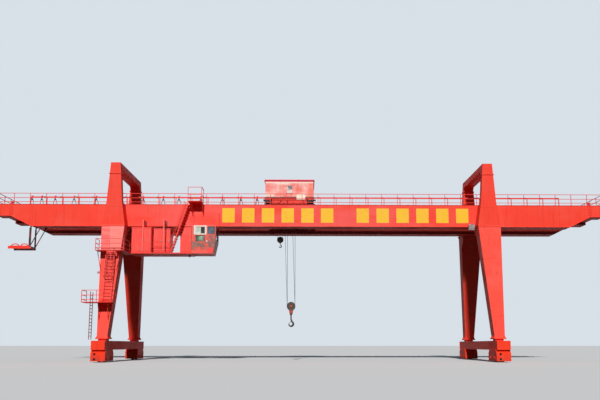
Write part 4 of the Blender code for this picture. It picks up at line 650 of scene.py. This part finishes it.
def block(low, high):
    """A box between two corners: a rectangle of X and Y pushed along Z."""
    (x0, y0, z0), (x1, y1, z1) = low, high
    return pushed([(x0, y0), (x1, y0), (x1, y1), (x0, y1)], 2, z0, z1)


leaves, fittings = [], []
for x0, x1, y, z0, z1 in ((-7.79, -7.362, -1.785, 4.955, 6.015), (-7.354, -6.925, -1.785, 4.955, 6.015),
                          (-6.86, -6.492, -1.435, 4.955, 6.015), (-6.484, -6.115, -1.435, 4.955, 6.015),
                          (-5.62, -5.146, -1.445, 4.96, 6.09)):
    leaves.append(block((x0, y - 0.009, z0), (x1, y, z1)))
    for z in (z0 + 0.14, z1 - 0.14):
        hinge = [(0.009, z - 0.04), (0.009, z + 0.04)]
        fittings.append(spun(hinge, (x0 + 0.006, y - 0.012, 0.0), 2, 12))
    middle = (z0 + z1) / 2
    fittings += [block((x1 - 0.05, y - 0.015, middle - 0.06), (x1 - 0.02, y - 0.009, middle + 0.06)),
                 block((x1 - 0.042, y - 0.032, middle - 0.012), (x1 - 0.028, y - 0.015, middle + 0.05))]
make("house_door_leaves", leaves, house_paint, "gantry", edge=0.003)
make("house_door_fittings", fittings, zinc_paint, "gantry", edge=0.0015)
slat = pushed([(0.0, 0.0), (0.014, -0.012), (0.014, -0.016), (0.0, -0.02)], 0, -0.16, 0.16)
slat_places = spots((-7.36, -6.49), (-0.695,), 5.1 + 0.035 * np.arange(12))
make("house_louvres", [scattered(slat, slat_places)], house_paint, "gantry")

# The operator's cabin is a box of folded sheet hung beside the gallery, its lower front sloping in. It has a
# sliding window in a white frame, a fixed grey window, a green pane below them, and a large front window with
# a wiper.
paint = Paint("cabin paint", 0.5)
x, y, z = paint.axes()
pale = paint.cloud(0.5).between(0.4, 0.7)
belt = z.inside(5.0, 5.4, 0.05) * paint.cloud(0.2, (1.6, 1.0, 0.8), 2.0).between(0.3, 0.62)
mould = x.inside(-4.97, -4.62, 0.04) * z.inside(5.16, 5.31, 0.03)
mould = mould * paint.cloud(0.1, detail=2.0).between(0.3, 0.5)
under_pane = x.between(-4.32, -4.2) * z.inside(5.09, 5.68, 0.05)
under_pane = under_pane * paint.cloud(0.14, detail=3.0, shift=2.0).between(0.3, 0.55)
scrape = x.inside(-4.36, -4.3, 0.015) * z.inside(5.385, 5.44, 0.015)
frame_dirt = z.inside(5.4, 6.1, 0.03) * paint.cloud(0.09, detail=4.0).between(0.42, 0.6)
fresh = x.between(-4.31, -4.29) * z.between(5.13, 5.11) * y.between(-1.9, -1.97)
colour = paint.over(tint(246, 66, 46), (pale * 0.4, 248, 100, 84), (belt * 0.85, 108, 84, 70),
                    (mould * 0.8, 84, 92, 74), (under_pane * 0.85, 74, 72, 66), (scrape, 252, 240, 220),
                    (frame_dirt * 0.6, 142, 74, 62), (fresh * 0.8, 250, 28, 22))
cabin_paint = paint.show(colour, 0.45 + 0.2 * pale, pale, 0.001)
dress(cabin_paint, "cabin_shell")
dress(brushed("hanger paint", tint(240, 58, 46)), "cabin_hanger")


def pane(name, deep, sheen, roughness=0.08):
    """Window glass seen from outside: a dark ground with a soft paler reflection in clouds and dust at its
    foot."""
    paint = Paint(name, roughness, 0.0, 0.4)
    glow = paint.cloud(0.18, (1.0, 1.0, 1.6), 2.0).between(0.35, 0.7)
    dust = paint.cloud(0.015, detail=5.0).between(0.5, 0.75)
    colour = paint.blend(glow, deep, sheen)
    return paint.show(paint.blend(dust * 0.25, colour, tint(150, 146, 138)), roughness + 0.3 * dust)


dress(pane("side glass", tint(14, 18, 20), tint(46, 56, 58)), "cabin_side_glass")
# The front glass is pale blue-grey all over: a painted reflection of the sky.
dress(pane("front glass", tint(84, 104, 116), tint(168, 190, 204)), "cabin_front_glass")
white_paint = mottled("white frame enamel", (0.4,), 0.06, 4.0, (0.45, 0.7), (236, 222, 206), (206, 184, 164),
                      0.35, 0.2)
face = -2.0
bars = [((-4.936, 5.70), (-4.847, 6.13)), ((-4.436, 5.70), (-4.348, 6.13)), ((-4.86, 5.70), (-4.42, 5.76)),
        ((-4.86, 6.06), (-4.42, 6.13)), ((-4.628, 5.75), (-4.612, 6.07))]
sliding = [block((x0, face - 0.012, z0), (x1, face + 0.004, z1)) for (x0, z0), (x1, z1) in bars]
make("cabin_window_frame", sliding, white_paint, "gantry", edge=0.003)
blind = Paint("pale blind", 0.7)
slats = blind.axes()[2].lines(0.035, 0.005)
cloudy = blind.cloud(0.12).between(0.35, 0.7)
colour = blind.over(tint(170, 186, 168), (cloudy, 222, 226, 212), (slats * 0.4, 130, 140, 130))
make("cabin_blind", [block((-4.85, face + 0.005, 5.755), (-4.62, face + 0.01, 6.065))],
     blind.show(colour, None, slats, -0.001), "gantry")
grey = pane("grey glass", tint(60, 76, 88), tint(98, 118, 130))
green = pane("green glass", tint(40, 66, 44), tint(166, 190, 158))
gasket = []
for name, glass, x0, x1, z0, z1 in (("cabin_fixed_pane", grey, -4.29, -3.985, 5.746, 6.07),
                                    ("cabin_lower_pane", green, -4.836, -4.442, 5.42, 5.66)):
    make(name, [block((x0, face + 0.012, z0), (x1, face + 0.018, z1))], glass, "gantry")
    for (a, b), (c, d) in (((x0 - 0.012, z0 - 0.012), (x1 + 0.012, z0 + 0.006)),
                           ((x0 - 0.012, z1 - 0.006), (x1 + 0.012, z1 + 0.012)),
                           ((x0 - 0.012, z0), (x0 + 0.006, z1)), ((x1 - 0.006, z0), (x1 + 0.012, z1))):
        gasket.append(block((a, face - 0.006, b), (c, face + 0.004, d)))
rubber_paint = mottled("weathered rubber", (0.7,), 0.02, 4.0, (0.4, 0.7), (34, 30, 30), (72, 62, 58), 0.6,
                       0.2)
make("cabin_window_gaskets", gasket, rubber_paint, "gantry", edge=0.002)


def oblong(half_s, half_u):
    """The four corners of a rectangle round the origin."""
    return [(-half_s, -half_u), (half_s, -half_u), (half_s, half_u), (-half_s, half_u)]


arm = np.linspace((-3.922, -1.45, 5.47), (-3.945, -1.6, 5.83), 12)
blade = np.linspace((-3.95, -1.52, 5.66), (-3.95, -1.68, 6.0), 12)
wiper = [carried(circle(0.006, 8), arm), carried(oblong(0.004, 0.008), blade),
         spun([(0.018, -3.94), (0.018, -3.915)], (0, -1.45, 5.47), 0, 16)]
make("cabin_wiper", wiper, rubber_paint, "gantry")
door = [block((-4.8, -0.9, 4.93), (-4.25, -0.892, 6.05)), block((-4.34, -0.892, 5.45), (-4.29, -0.886, 5.57)),
        block((-4.325, -0.886, 5.5), (-4.305, -0.868, 5.56))]
make("cabin_rear_door", door, cabin_paint, "gantry", edge=0.002)

# A steep stair climbs from the gallery to a landing at the girder's top. It has folded treads between two
# flat stringers, and a round handrail each side on short stays. An angle under the landing seats it on the
# girder's web.
dress(tread_plate("landing paint", tint(246, 60, 46), 7.26), "stair_landing")
angle = [(-1.4756, 7.1), (-1.4756, 7.2298), (-1.6, 7.2298), (-1.6, 7.222), (-1.4836, 7.222), (-1.4836, 7.1)]
make("landing_angle", [pushed(angle, 0, -5.235, -4.6)], leg_paint, "gantry")
stair_paint = brushed("stair paint", tint(246, 66, 54))
dress(stair_paint, "stair_flight")
foot_end, top_end = np.array((-6.16, 0.0, 4.98)), np.array((-5.41, 0.0, 7.28))
rails = []
for y in (-1.832, -1.548):
    line = np.linspace(foot_end, top_end, 30) + (0, y, 0)
    rails.append(carried(circle(0.011, 10), line, (0, 1, 0)))
    for share in (0.04, 0.36, 0.68, 0.97):
        x, z = (1 - share) * foot_end[[0, 2]] + share * top_end[[0, 2]]
        stay = np.linspace((x, y, z), (x + 0.15, y, z - 0.02), 4)
        rails.append(carried(circle(0.008, 8), stay, (0, 1, 0)))
make("stair_handrails", rails, stair_paint, "gantry", 50.0)

# Two platforms of tread plate hang in front of the front left leg, with a caged ladder between them and a
# plain one below. They are welded from small flats and angles and painted by hand.
dress(tread_plate("upper platform paint", tint(232, 84, 78), 4.88), "leg_platform")
dress(tread_plate("lower platform paint", tint(248, 48, 36), 2.56), "lower_platform")
dress(brushed("ladder paint", tint(226, 58, 50), 0.9), "caged_ladder")
dress(brushed("lower ladder paint", tint(132, 34, 34), 0.9), "lower_ladder")

# The collector frame hangs under the left overhang. Its posts and braces are dark with soot from the
# contacts, and its floor frame is bright red.
paint, colour, rough, height = small_red("collector paint", tint(58, 18, 26))
_, y, z = paint.axes()
level = z.between(5.25, 5.24) * y.between(-1.0, -1.05)
collector_paint = paint.show(paint.over(colour, (level, 250, 54, 34)), rough, height, 0.0006)
dress(collector_paint, "collector_frame")
rows = ((-1.4553, -1.4453), (-0.7547, -0.7447))
flats = [block((-12.6, y0, 5.2503), (-12.53, y1, 6.1)) for y0, y1 in rows]
make("collector_post_flats", flats, collector_paint, "gantry")
boards = [block((-13.54, y0, 5.12), (-12.515, y1, 5.239)) for y0, y1 in rows]
make("collector_kick_boards", boards, collector_paint, "gantry", edge=0.002)
bow = np.linspace(0, np.pi, 16)
shoe_line = np.stack([-13.27 + 0.16 * np.cos(bow), np.full(16, -1.3), 5.27 + 0.09 * np.sin(bow)], 1)
shoes = [carried(oblong(0.02, 0.008), shoe_line + (dx, 0, 0), (0, 1, 0)) for dx in (0.0, 0.42)]
shoes.append(block((-13.5, -1.39, 5.2403), (-12.62, -1.21, 5.27)))
make("collector_shoes", shoes, brushed("collector shoe paint", tint(214, 50, 44)), "gantry")

# A floodlight on a bracket lights the load from the girder's right half, and three small lamps hang at the
# leg, the gallery and the rear girder. All have cast bodies, the floodlight's with cooling ribs, and a pale
# lens below or before.
lamp_centre, lean = np.array((7.86, -1.6453, 6.16)), math.radians(35)


def tilted(shape):
    """A shape turned about the X line through the floodlight's centre: (y, z) by the rotation for the
    lean."""
    points, faces = shape
    y, z = points[:, 1], points[:, 2]
    turned = [points[:, 0], math.cos(lean) * y - math.sin(lean) * z, math.sin(lean) * y + math.cos(lean) * z]
    return np.stack(turned, 1) + lamp_centre, faces


def rounded(half_x, half_z, radius, steps=5):
    """The outline of a rectangle with round corners, as four quarter circles."""
    a = np.linspace(0, np.pi / 2, steps)
    corner = radius * np.stack([np.cos(a), np.sin(a)], 1) + (half_x - radius, half_z - radius)
    flipped = corner[::-1] * (-1, 1)
    return np.vstack([corner, flipped, -corner, -flipped])


shells = [(-0.08, 0.149), (-0.066, 0.149), (-0.064, 0.14), (0.0, 0.135), (0.06, 0.09), (0.078, 0.075)]
grid = np.stack([np.insert(rounded(half, half, 0.02), 1, y, axis=1) for y, half in shells])
rib = block((-0.09, 0.02, -0.004), (0.09, 0.09, 0.004))
ribs = scattered(rib, [(0, 0, z) for z in np.linspace(-0.06, 0.06, 6)])
cast_paint = mottled("cast lamp housing", (0.45,), 0.05, 4.0, (0.4, 0.7), (158, 92, 84), (206, 150, 140), 0.4,
                     0.25, 0.0005)
body = make("floodlight_body", [tilted(skin(grid)), tilted(ribs)], cast_paint, "gantry", 35.0)
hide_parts("floodlight")
yoke = [(7.70, -1.645, 6.16), (7.70, -1.52, 6.16), (7.86, -1.50, 6.16), (8.02, -1.52, 6.16),
        (8.02, -1.645, 6.16)]
yoke_foot = block((7.82, -1.53, 6.1), (7.9, -1.4755, 6.22))
make("floodlight_yoke", [carried(oblong(0.004, 0.018), yoke), yoke_foot], bolt_paint, "gantry")
lens = Paint("lamp glass", 0.12, 0.0, 0.5)
prisms = lens.axes()[0].lines(0.02, 0.006)
glint = lens.cloud(0.1).between(0.35, 0.7)
lens_paint = lens.show(lens.blend(glint, tint(176, 182, 180), tint(226, 230, 226)), 0.12 + 0.1 * prisms,
                       prisms, 0.0008)
faces_at = ((-0.0785, 0.132), (-0.0835, 0.128))
glass = np.stack([np.insert(rounded(half, half, 0.015), 1, y, axis=1) for y, half in faces_at])
make("floodlight_lens", [tilted(skin(glass))], lens_paint, "gantry")
small_lamps, small_lenses, arms = [], [], []
bowl = [(0.02, 0.05), (0.045, 0.04), (0.052, 0.0), (0.052, -0.006), (0.045, -0.008)]
dome = [(0.045, -0.006), (0.042, -0.03), (0.028, -0.046), (0.01, -0.052)]
for x, y, z, arm_end in ((-9.07, -2.4, 3.92, (-8.955, -2.4, 3.98)),
                         (-5.175, -1.5, 4.77, (-5.175, -1.5, 4.855)),
                         (7.93, 1.43, 6.09, (7.93, 1.43, 6.175))):
    small_lamps.append(spun(bowl, (x, y, z), 2, 20))
    small_lenses.append(spun(dome, (x, y, z), 2, 20))
    stem = np.linspace((x, y, z + 0.045), arm_end, 4)
    arms.append(carried(circle(0.009, 8), stem, (0.0, 1.0, 0.0)))
make("small_lamp_bodies", small_lamps + arms, cast_paint, "gantry")
make("small_lamp_lenses", small_lenses, lens_paint, "gantry")

# The trolley's frame is a welded deck and cradle on four flanged wheels. It has buffers at both ends, bolted
# bearing covers, two large bolts in the cradle's front, and a bare cream plate screwed to two brackets.
paint, colour, rough, height = plate_red("trolley frame paint", tint(246, 66, 48), (0.0, 0.0), 0.6, 0.35)
x, y, z = paint.axes()
# Below 7.5 m the frame is darker in patches.
darkening = z.between(7.5, 7.38) * paint.cloud(0.15, detail=5.0).between(0.3, 0.65)
ends = x.between(-1.69, -1.71) + x.between(0.47, 0.49)
# Painted shadow: a near-black band along the deck's edge on the front and back, in the gap between the house
# and the frame, running down the last few centimetres at each end.
painted_shadow_gap = z.inside(7.555, 7.66, 0.006) + ends * z.between(7.63, 7.62)
painted_shadow_gap = painted_shadow_gap * (y.between(-1.03, -1.04) + y.between(1.03, 1.04))
colour = paint.over(colour, (darkening * 0.75, 84, 30, 26), (painted_shadow_gap * 0.93, 34, 8, 8))
frame_paint = paint.show(colour, rough, height, 0.0015)
dress(frame_paint, "trolley_frame")
dark_paint = mottled("greased steel", (0.4, 0.6), 0.05, 3.0, (0.4, 0.7), (44, 42, 42), (84, 68, 58), 0.3, 0.3,
                     0.0006)
dress(dark_paint, "left_wheel_set", "right_wheel_set", "main_drum", "aux_drum")
trolley_x, deck_half = -0.608, 1.17
buffers, covers, cover_bolts = [], [], []
for way in (-1, 1):
    end = trolley_x + way * deck_half
    tube = [(0.04, end), (0.04, end + way * 0.05), (0.052, end + way * 0.052), (0.052, end + way * 0.075),
            (0.04, end + way * 0.085)]
    buffers.append(scattered(spun(tube, (0, 0, 7.6), 0, 24), spots((0,), (-0.55, 0.55), (0,))))
    for side in (-1, 1):
        wheel_x = trolley_x + way * 1.01
        y = side * 1.1
        outline = [(wheel_x - 0.14, 7.36), (wheel_x + 0.14, 7.36), (wheel_x + 0.14, 7.559),
                   (wheel_x - 0.14, 7.559)]
        cap = [(0.06, y), (0.06, y + side * 0.01), (0.045, y + side * 0.018)]
        covers += [pushed(outline, 1, y - side * 0.012, y), spun(cap, (wheel_x, 0, 7.405), 1, 24)]
        ring = np.array([(wheel_x + dx, y, bolt_z) for dx in (-0.12, 0.12) for bolt_z in (7.39, 7.47)])
        cover_bolts += bolts(ring, 1, 0.008, side * 0.009)
make("trolley_buffers", buffers, rubber_paint, "trolley", 30.0)
paint, colour, rough, height = small_red("bearing cover paint", tint(246, 84, 68))
# The covers are near-black below 7.5 m: painted shade for the shadowed wheels behind them.
below = paint.axes()[2].between(7.505, 7.495)
cover_paint = paint.show(paint.over(colour, (below, 14, 11, 11)), rough, height, 0.0006)
make("trolley_bearing_covers", covers, cover_paint, "trolley", 30.0)
make("trolley_bearing_bolts", cover_bolts + bolts(spots((-1.02, -0.704), (-1.1,), (7.44,)), 1, 0.022, -0.012),
     grease_paint, "trolley")
cream = Paint("cream plate enamel", 0.45)
stain = cream.cloud(0.07, (1.0, 1.0, 2.0), 4.0).between(0.45, 0.72)
colour = cream.blend(stain * 0.5, tint(238, 226, 204), tint(206, 166, 140))
plate_paint = cream.show(colour, 0.4 + 0.2 * stain)
plate = block((-0.272, -1.109, 7.50), (0.142, -1.1003, 7.783))
make("trolley_blank_plate", [plate], plate_paint, "trolley", edge=0.004)
stand_off = [block((-0.22, -1.1003, 7.70), (-0.19, -1.05, 7.73)),
             block((0.06, -1.1003, 7.70), (0.09, -1.05, 7.73))]
make("trolley_plate_brackets", stand_off, frame_paint, "trolley")
make("trolley_plate_screws", bolts(spots((-0.255, 0.125), (-1.109,), (7.52, 7.763)), 1, 0.007, -0.005),
     zinc_paint, "trolley")

# The trolley's house is folded sheet over the hoist, once red, now bleached to a chalky pink with a cream
# band under a crimson roof edge. It has one framed window in front, a door at the back and louvres in its
# ends.
paint = Paint("bleached house paint", 0.65)
x, _, z = paint.axes()
bleach = paint.cloud(0.35, (1.4, 1.0, 1.0), 5.0)
stops_at = [(0.3, tint(238, 98, 84)), (0.48, tint(240, 142, 130)), (0.6, tint(244, 178, 164)),
            (0.75, tint(242, 220, 202))]
colour = paint.node("ShaderNodeValToRGB", {"stops": stops_at}, {0: bleach})
run = paint.cloud(0.04, (1.0, 1.0, 16.0), 4.0).between(0.52, 0.74)
faint = paint.cloud(0.4, (2.0, 1.0, 1.0)).between(0.45, 0.6)
band = z.inside(8.33, 8.395, 0.006) + z.inside(8.27, 8.33, 0.02) * faint
patch = x.between(-1.32, -1.36) * z.between(7.82, 7.78)
joints = [(x.inside(place - 0.006, place + 0.006) * 0.5, 170, 70, 62) for place in (-1.02, -0.2)]
grime = z.between(7.74, 7.65) * paint.cloud(0.1, detail=4.0).between(0.35, 0.6)
colour = paint.over(colour, (run * 0.35, 206, 90, 80), (x.between(0.1, 0.45) * 0.6, 244, 106, 84),
                    (band * 0.8, 242, 226, 208), (patch * 0.7, 240, 222, 202), *joints,
                    (z.between(8.392, 8.4) * 0.9, 236, 62, 84), (grime * 0.5, 150, 60, 52))
bleached_paint = paint.show(colour, 0.6 + 0.2 * run, bleach, 0.0012)
dress(bleached_paint, "trolley_house")
paint, colour, rough, height = plate_red("roof paint", tint(250, 70, 92), (0.38, 0.0), 0.2, 0.15)
roof_paint = paint.show(colour, rough, height, 0.0015)
dress(roof_paint, "trolley_roof")
ribs = scattered(pushed([(-0.008, 8.5003), (0.008, 8.5003), (0.005, 8.52), (-0.005, 8.52)], 1, -1.04, 1.04),
                 [(x, 0, 0) for x in np.arange(-1.748, 0.54, 0.38)])
make("trolley_roof_seams", [ribs], roof_paint, "trolley")
front = -1.05
bars = [((-0.752, 7.828), (-0.728, 8.219)), ((-0.474, 7.828), (-0.45, 8.219)),
        ((-0.752, 7.828), (-0.45, 7.85)), ((-0.752, 8.197), (-0.45, 8.219)), ((-0.73, 8.02), (-0.47, 8.036))]
make("trolley_window_frame", [block((x0, front - 0.018, z0), (x1, front, z1)) for (x0, z0), (x1, z1) in bars],
     bleached_paint, "trolley", edge=0.003)
glass = Paint("dusty trolley glass", 0.15, 0.0, 0.3)
x, _, z = glass.axes()
# The pane is pale in its lower left, under a slanting line, as a painted reflection, and grey above it.
upper = z.between(8.02, 8.04) * (x + 0.4 * (z - 8.0)).between(-0.64, -0.62)
dust = glass.cloud(0.04, detail=4.0).between(0.4, 0.7)
colour = glass.blend(upper, tint(214, 206, 196), tint(110, 116, 124))
make("trolley_window_pane", [block((-0.74, front - 0.006, 7.84), (-0.462, front, 8.207))],
     glass.show(colour, 0.15 + 0.3 * dust), "trolley")
door = [block((-1.0, 1.05, 7.66), (-0.45, 1.059, 8.36)), block((-0.55, 1.059, 7.98), (-0.5, 1.066, 8.1)),
        block((-0.535, 1.066, 8.03), (-0.515, 1.086, 8.09))]
make("trolley_rear_door", door, bleached_paint, "trolley", edge=0.002)
slats = []
for way in (-1, 1):
    end = trolley_x + way * 1.14
    wedge = [(0.0, 0.0), (way * 0.014, -0.012), (way * 0.014, -0.016), (0.0, -0.02)]
    outline = pushed(wedge, 1, -0.22, 0.22)
    slats.append(scattered(outline, spots((end,), (-0.45, 0.45), 7.85 + 0.04 * np.arange(9))))
make("trolley_end_louvres", slats, bleached_paint, "trolley")

# Two parts of wire rope hang from the drum and its return pulley round the main block's sheaves, and one pair
# round the small block. Each rope is six strands laid round a core, black with grease.
rope = Paint("wire rope", 0.55, 0.2)
x, _, z = rope.axes()
strands = ((z + 1.4 * x) / 0.012).of("FRACT").of("PINGPONG", 0.5) * 2.0
oily = rope.cloud(0.1, (1.0, 1.0, 6.0), 3.0).between(0.4, 0.7)
colour = rope.blend(strands, tint(16, 14, 14), rope.blend(oily, tint(52, 48, 46), tint(34, 28, 26)))
rope_paint = rope.show(colour, 0.35 + 0.3 * oily, strands, 0.0015)


def rope_line(y, top_x, top_radius, block_x, block_z, block_radius):
    """Down from a drum's left side, half a turn under the block's sheave, and up to the drum's right side."""
    a = np.linspace(np.pi, 2 * np.pi, 25)
    under = np.stack([block_x + block_radius * np.cos(a), block_z + block_radius * np.sin(a)], 1)
    share = np.linspace(0, 1, 90)[:, None]
    down = (1 - share) * np.array((top_x - top_radius, 7.8)) + share * under[0]
    up = (1 - share) * under[-1] + share * np.array((top_x + top_radius, 7.8))
    return np.insert(np.vstack([down[:-1], under, up[1:]]), 1, y, axis=1)


sheave_x, sheave_z, small_x, small_z = -0.52, 2.558, -1.06, 5.76
front_run = rope_line(-0.07, -0.615, 0.27, sheave_x, sheave_z, 0.185)
rear_run = rope_line(0.07, -0.615, 0.1, sheave_x, sheave_z, 0.185)
small_run = rope_line(0.0, small_x, 0.12, small_x, small_z, 0.125)
for node, line, block_body, low in (("main_rope_front", front_run, "main_block", 2.7),
                                    ("main_rope_rear", rear_run, "main_block", 2.7),
                                    ("aux_rope", small_run, "aux_block", 5.86)):
    thing = make(node + "_run", [carried(circle(0.008, 10), line, (0, 1, 0))], rope_paint, None)
    middle = float(line[:, 0].mean())
    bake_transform(thing)
    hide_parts(node)

# The main block has two flame-cut cheeks, bolted through spacers round a pair of grooved sheaves, and a
# crosshead that carries the hook's nut. It is greasy brown above, worn red at its neck and black at its foot,
# with a burnt orange cap.
cheek_radius, waist, foot_z = 0.205, 0.1, 2.158
paint = Paint("block paint", 0.5, 0.1)
z = paint.axes()[2]
oily = paint.cloud(0.06, detail=4.0).between(0.35, 0.65)
colour = paint.over(tint(66, 50, 42), (z.between(2.42, 2.3), 196, 56, 40),
                    (z.between(2.225, 2.195), 22, 16, 15), (oily * 0.5, 34, 22, 20))
block_paint = paint.show(colour, 0.35 + 0.3 * oily, oily, 0.0008)
start = math.asin(waist / cheek_radius) - math.pi / 2
a = np.linspace(start, start + 2 * math.pi - 2 * (start + math.pi / 2), 41)
cheek = np.vstack([cheek_radius * np.stack([np.cos(a), np.sin(a)], 1) + (sheave_x, sheave_z),
                   [(sheave_x - 0.06, foot_z), (sheave_x + 0.06, foot_z)]])
cheeks = [pushed(cheek, 1, way * 0.1105, way * 0.13) for way in (-1, 1)]
cheeks.append(block((sheave_x - 0.055, -0.1105, foot_z + 0.004), (sheave_x + 0.055, 0.1105, 2.2575)))
cheeks.append(spun([(0.03, -0.14), (0.03, 0.14)], (sheave_x, 0, sheave_z), 1, 24))
block_thing = make("main_block_cheeks", cheeks, block_paint, "main_block", edge=0.004)
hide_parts("main_block")
cap_paint = brushed("orange cap paint", tint(158, 84, 46), 0.5)
hub = [(0.062, 0.13), (0.062, 0.138), (0.05, 0.148), (0.03, 0.15)]
make("main_block_caps", [spun([(r, way * h) for r, h in hub], (sheave_x, 0, sheave_z), 1, 28)
                         for way in (-1, 1)], cap_paint, "main_block", 30.0)
tie_offsets = ((-0.155, -0.1), (0.155, -0.1), (-0.07, -0.3), (0.07, -0.3), (-0.12, 0.14), (0.12, 0.14))
tie_places = [(sheave_x + dx, 0.0, sheave_z + dz) for dx, dz in tie_offsets]
ties = [scattered(spun([(0.009, -0.1105), (0.009, 0.1105)], (0, 0, 0), 1, 12), tie_places[2:4])]
for way in (-1, 1):
    ties += bolts(np.array(tie_places) + (0, way * 0.13, 0), 1, 0.012, way * 0.012)
make("main_block_bolts", ties, dark_paint, "main_block")
groove_y, rim, groove_floor = 0.07, 0.2, 0.1763


def grooved(half, floor_radius):
    """A wheel's profile: its half below the groove, the groove's floor, and the same half mirrored."""
    return [*half, (floor_radius, 0.0), *[(r, -h) for r, h in half[::-1]]]


profile = grooved([(0.0313, -0.034), (0.07, -0.034), (0.075, -0.02), (0.15, -0.02), (0.16, -0.026),
                   (rim, -0.026), (rim, -0.018), (0.182, -0.011)], groove_floor)
sheaves = [spun(profile, (sheave_x, way * groove_y, sheave_z), 1, 64, False) for way in (-1, 1)]
sheave_thing = make("main_block_sheaves", sheaves, dark_paint, "main_block", 35.0)
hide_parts("main_sheaves")


def hook_shape(x, bottom, bowl, shank):
    """A forged hook: ellipses carried down its shank and round its bowl, at stations (radius cos, radius
    sin) of a slowly opening spiral, whose half width follows a sine from the shank to the tip and ends in
    a rounded nose."""
    middle = bottom + 1.425 * bowl
    share = np.linspace(0, 1, 60)
    angle = math.radians(62) - share * math.radians(252)
    radius = bowl * (1 + 0.04 * np.sin(np.pi * share))
    half = bowl * (0.14 + 0.3 * np.sin(np.pi * np.minimum(1.0, (1 + 3 * share) / 4)))
    half = half * np.sqrt(np.clip(1 - ((share - 0.93) / 0.0705).clip(0) ** 2, 0.02, 1))
    places = np.stack([x + radius * np.cos(angle), middle + radius * np.sin(angle)], 1)
    top, neck = (x, middle + 2.1 * bowl), (x + 0.1 * bowl, middle + 1.5 * bowl)
    upper = np.linspace(0, 1, 9)[:, None]
    lead = (1 - upper) ** 2 * np.array(top) + 2 * upper * (1 - upper) * np.array(neck)
    lead = lead + upper ** 2 * places[0]
    places = np.vstack([lead[:-1], places])
    across = np.concatenate([np.linspace(0.0, angle[0], 9)[:-1], angle])
    half = np.concatenate([np.linspace(shank, half[0], 9)[:-1], half])
    thin = np.concatenate([np.linspace(shank, 0.8 * half[8], 9)[:-1], 0.8 * half[8:]])
    turn = np.arange(20) * 2 * np.pi / 20
    u, v = half[:, None] * np.cos(turn), thin[:, None] * np.sin(turn)
    u_x, u_z = u * np.cos(across)[:, None], u * np.sin(across)[:, None]
    grid = np.stack([places[:, :1] + u_x, v, places[:, 1:] + u_z], -1)
    return skin(grid), middle + 2.1 * bowl


steel = Paint("forged hook steel", 0.55, 0.2)
z = steel.axes()[2]
scale = steel.cloud(0.04, detail=5.0).between(0.35, 0.7)
bright = steel.cloud(0.09, detail=3.0, shift=3.0).between(0.55, 0.75)
colour = steel.over(tint(26, 22, 22), (scale, 60, 44, 38), (bright * 0.3, 104, 94, 88))
hook_paint = steel.show(colour, 0.45 + 0.25 * scale, scale, 0.0008)
shape, shank_top = hook_shape(sheave_x, 1.575, 0.105, 0.032)
spindle = [(0.0318, shank_top - 0.012), (0.0318, 2.2583), (0.055, 2.2583), (0.055, 2.272), (0.048, 2.278)]
forging = [shape, spun(spindle, (sheave_x, 0, 0), 2, 28)]
hook = make("main_hook_forging", forging, hook_paint, "main_hook", 35.0)
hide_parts("main_hook")
latch_line = [(-0.43, 0.0, 1.92), (-0.49, 0.0, 1.86), (-0.56, 0.0, 1.8), (-0.612, 0.0, 1.74)]
make("main_hook_latch", [carried(oblong(0.003, 0.016), latch_line)], zinc_paint, "main_hook")

# The small block is one grooved wheel closed in by two thick discs, with a plain forged hook under it.
disc = grooved([(0.03, -0.036), (0.05, -0.036), (0.055, -0.03), (0.145, -0.03), (0.155, -0.024),
                (0.155, -0.011), (0.122, -0.006)], 0.1168)
shape, shank_top = hook_shape(small_x, 5.37, 0.055, 0.016)
stalk = [(0.016, shank_top - 0.006), (0.016, 5.61), (0.03, 5.612), (0.03, 5.63)]
parts = [spun(disc, (small_x, 0, small_z), 1, 56), shape, spun(stalk, (small_x, 0, 0), 2, 20),
         block((-1.11, -0.022, 5.6), (-1.01, 0.022, 5.626))]
small = make("aux_block_and_hook", parts, hook_paint, "aux_block", 35.0)
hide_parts("aux_block")
small_bolts = []
for way in (-1, 1):
    ring = np.insert(circle(0.1, 6), 1, way * 0.03, axis=1) + (small_x, 0, small_z)
    small_bolts += bolts(ring, 1, 0.008, way * 0.008)
make("aux_block_bolts", small_bolts, dark_paint, "aux_block")
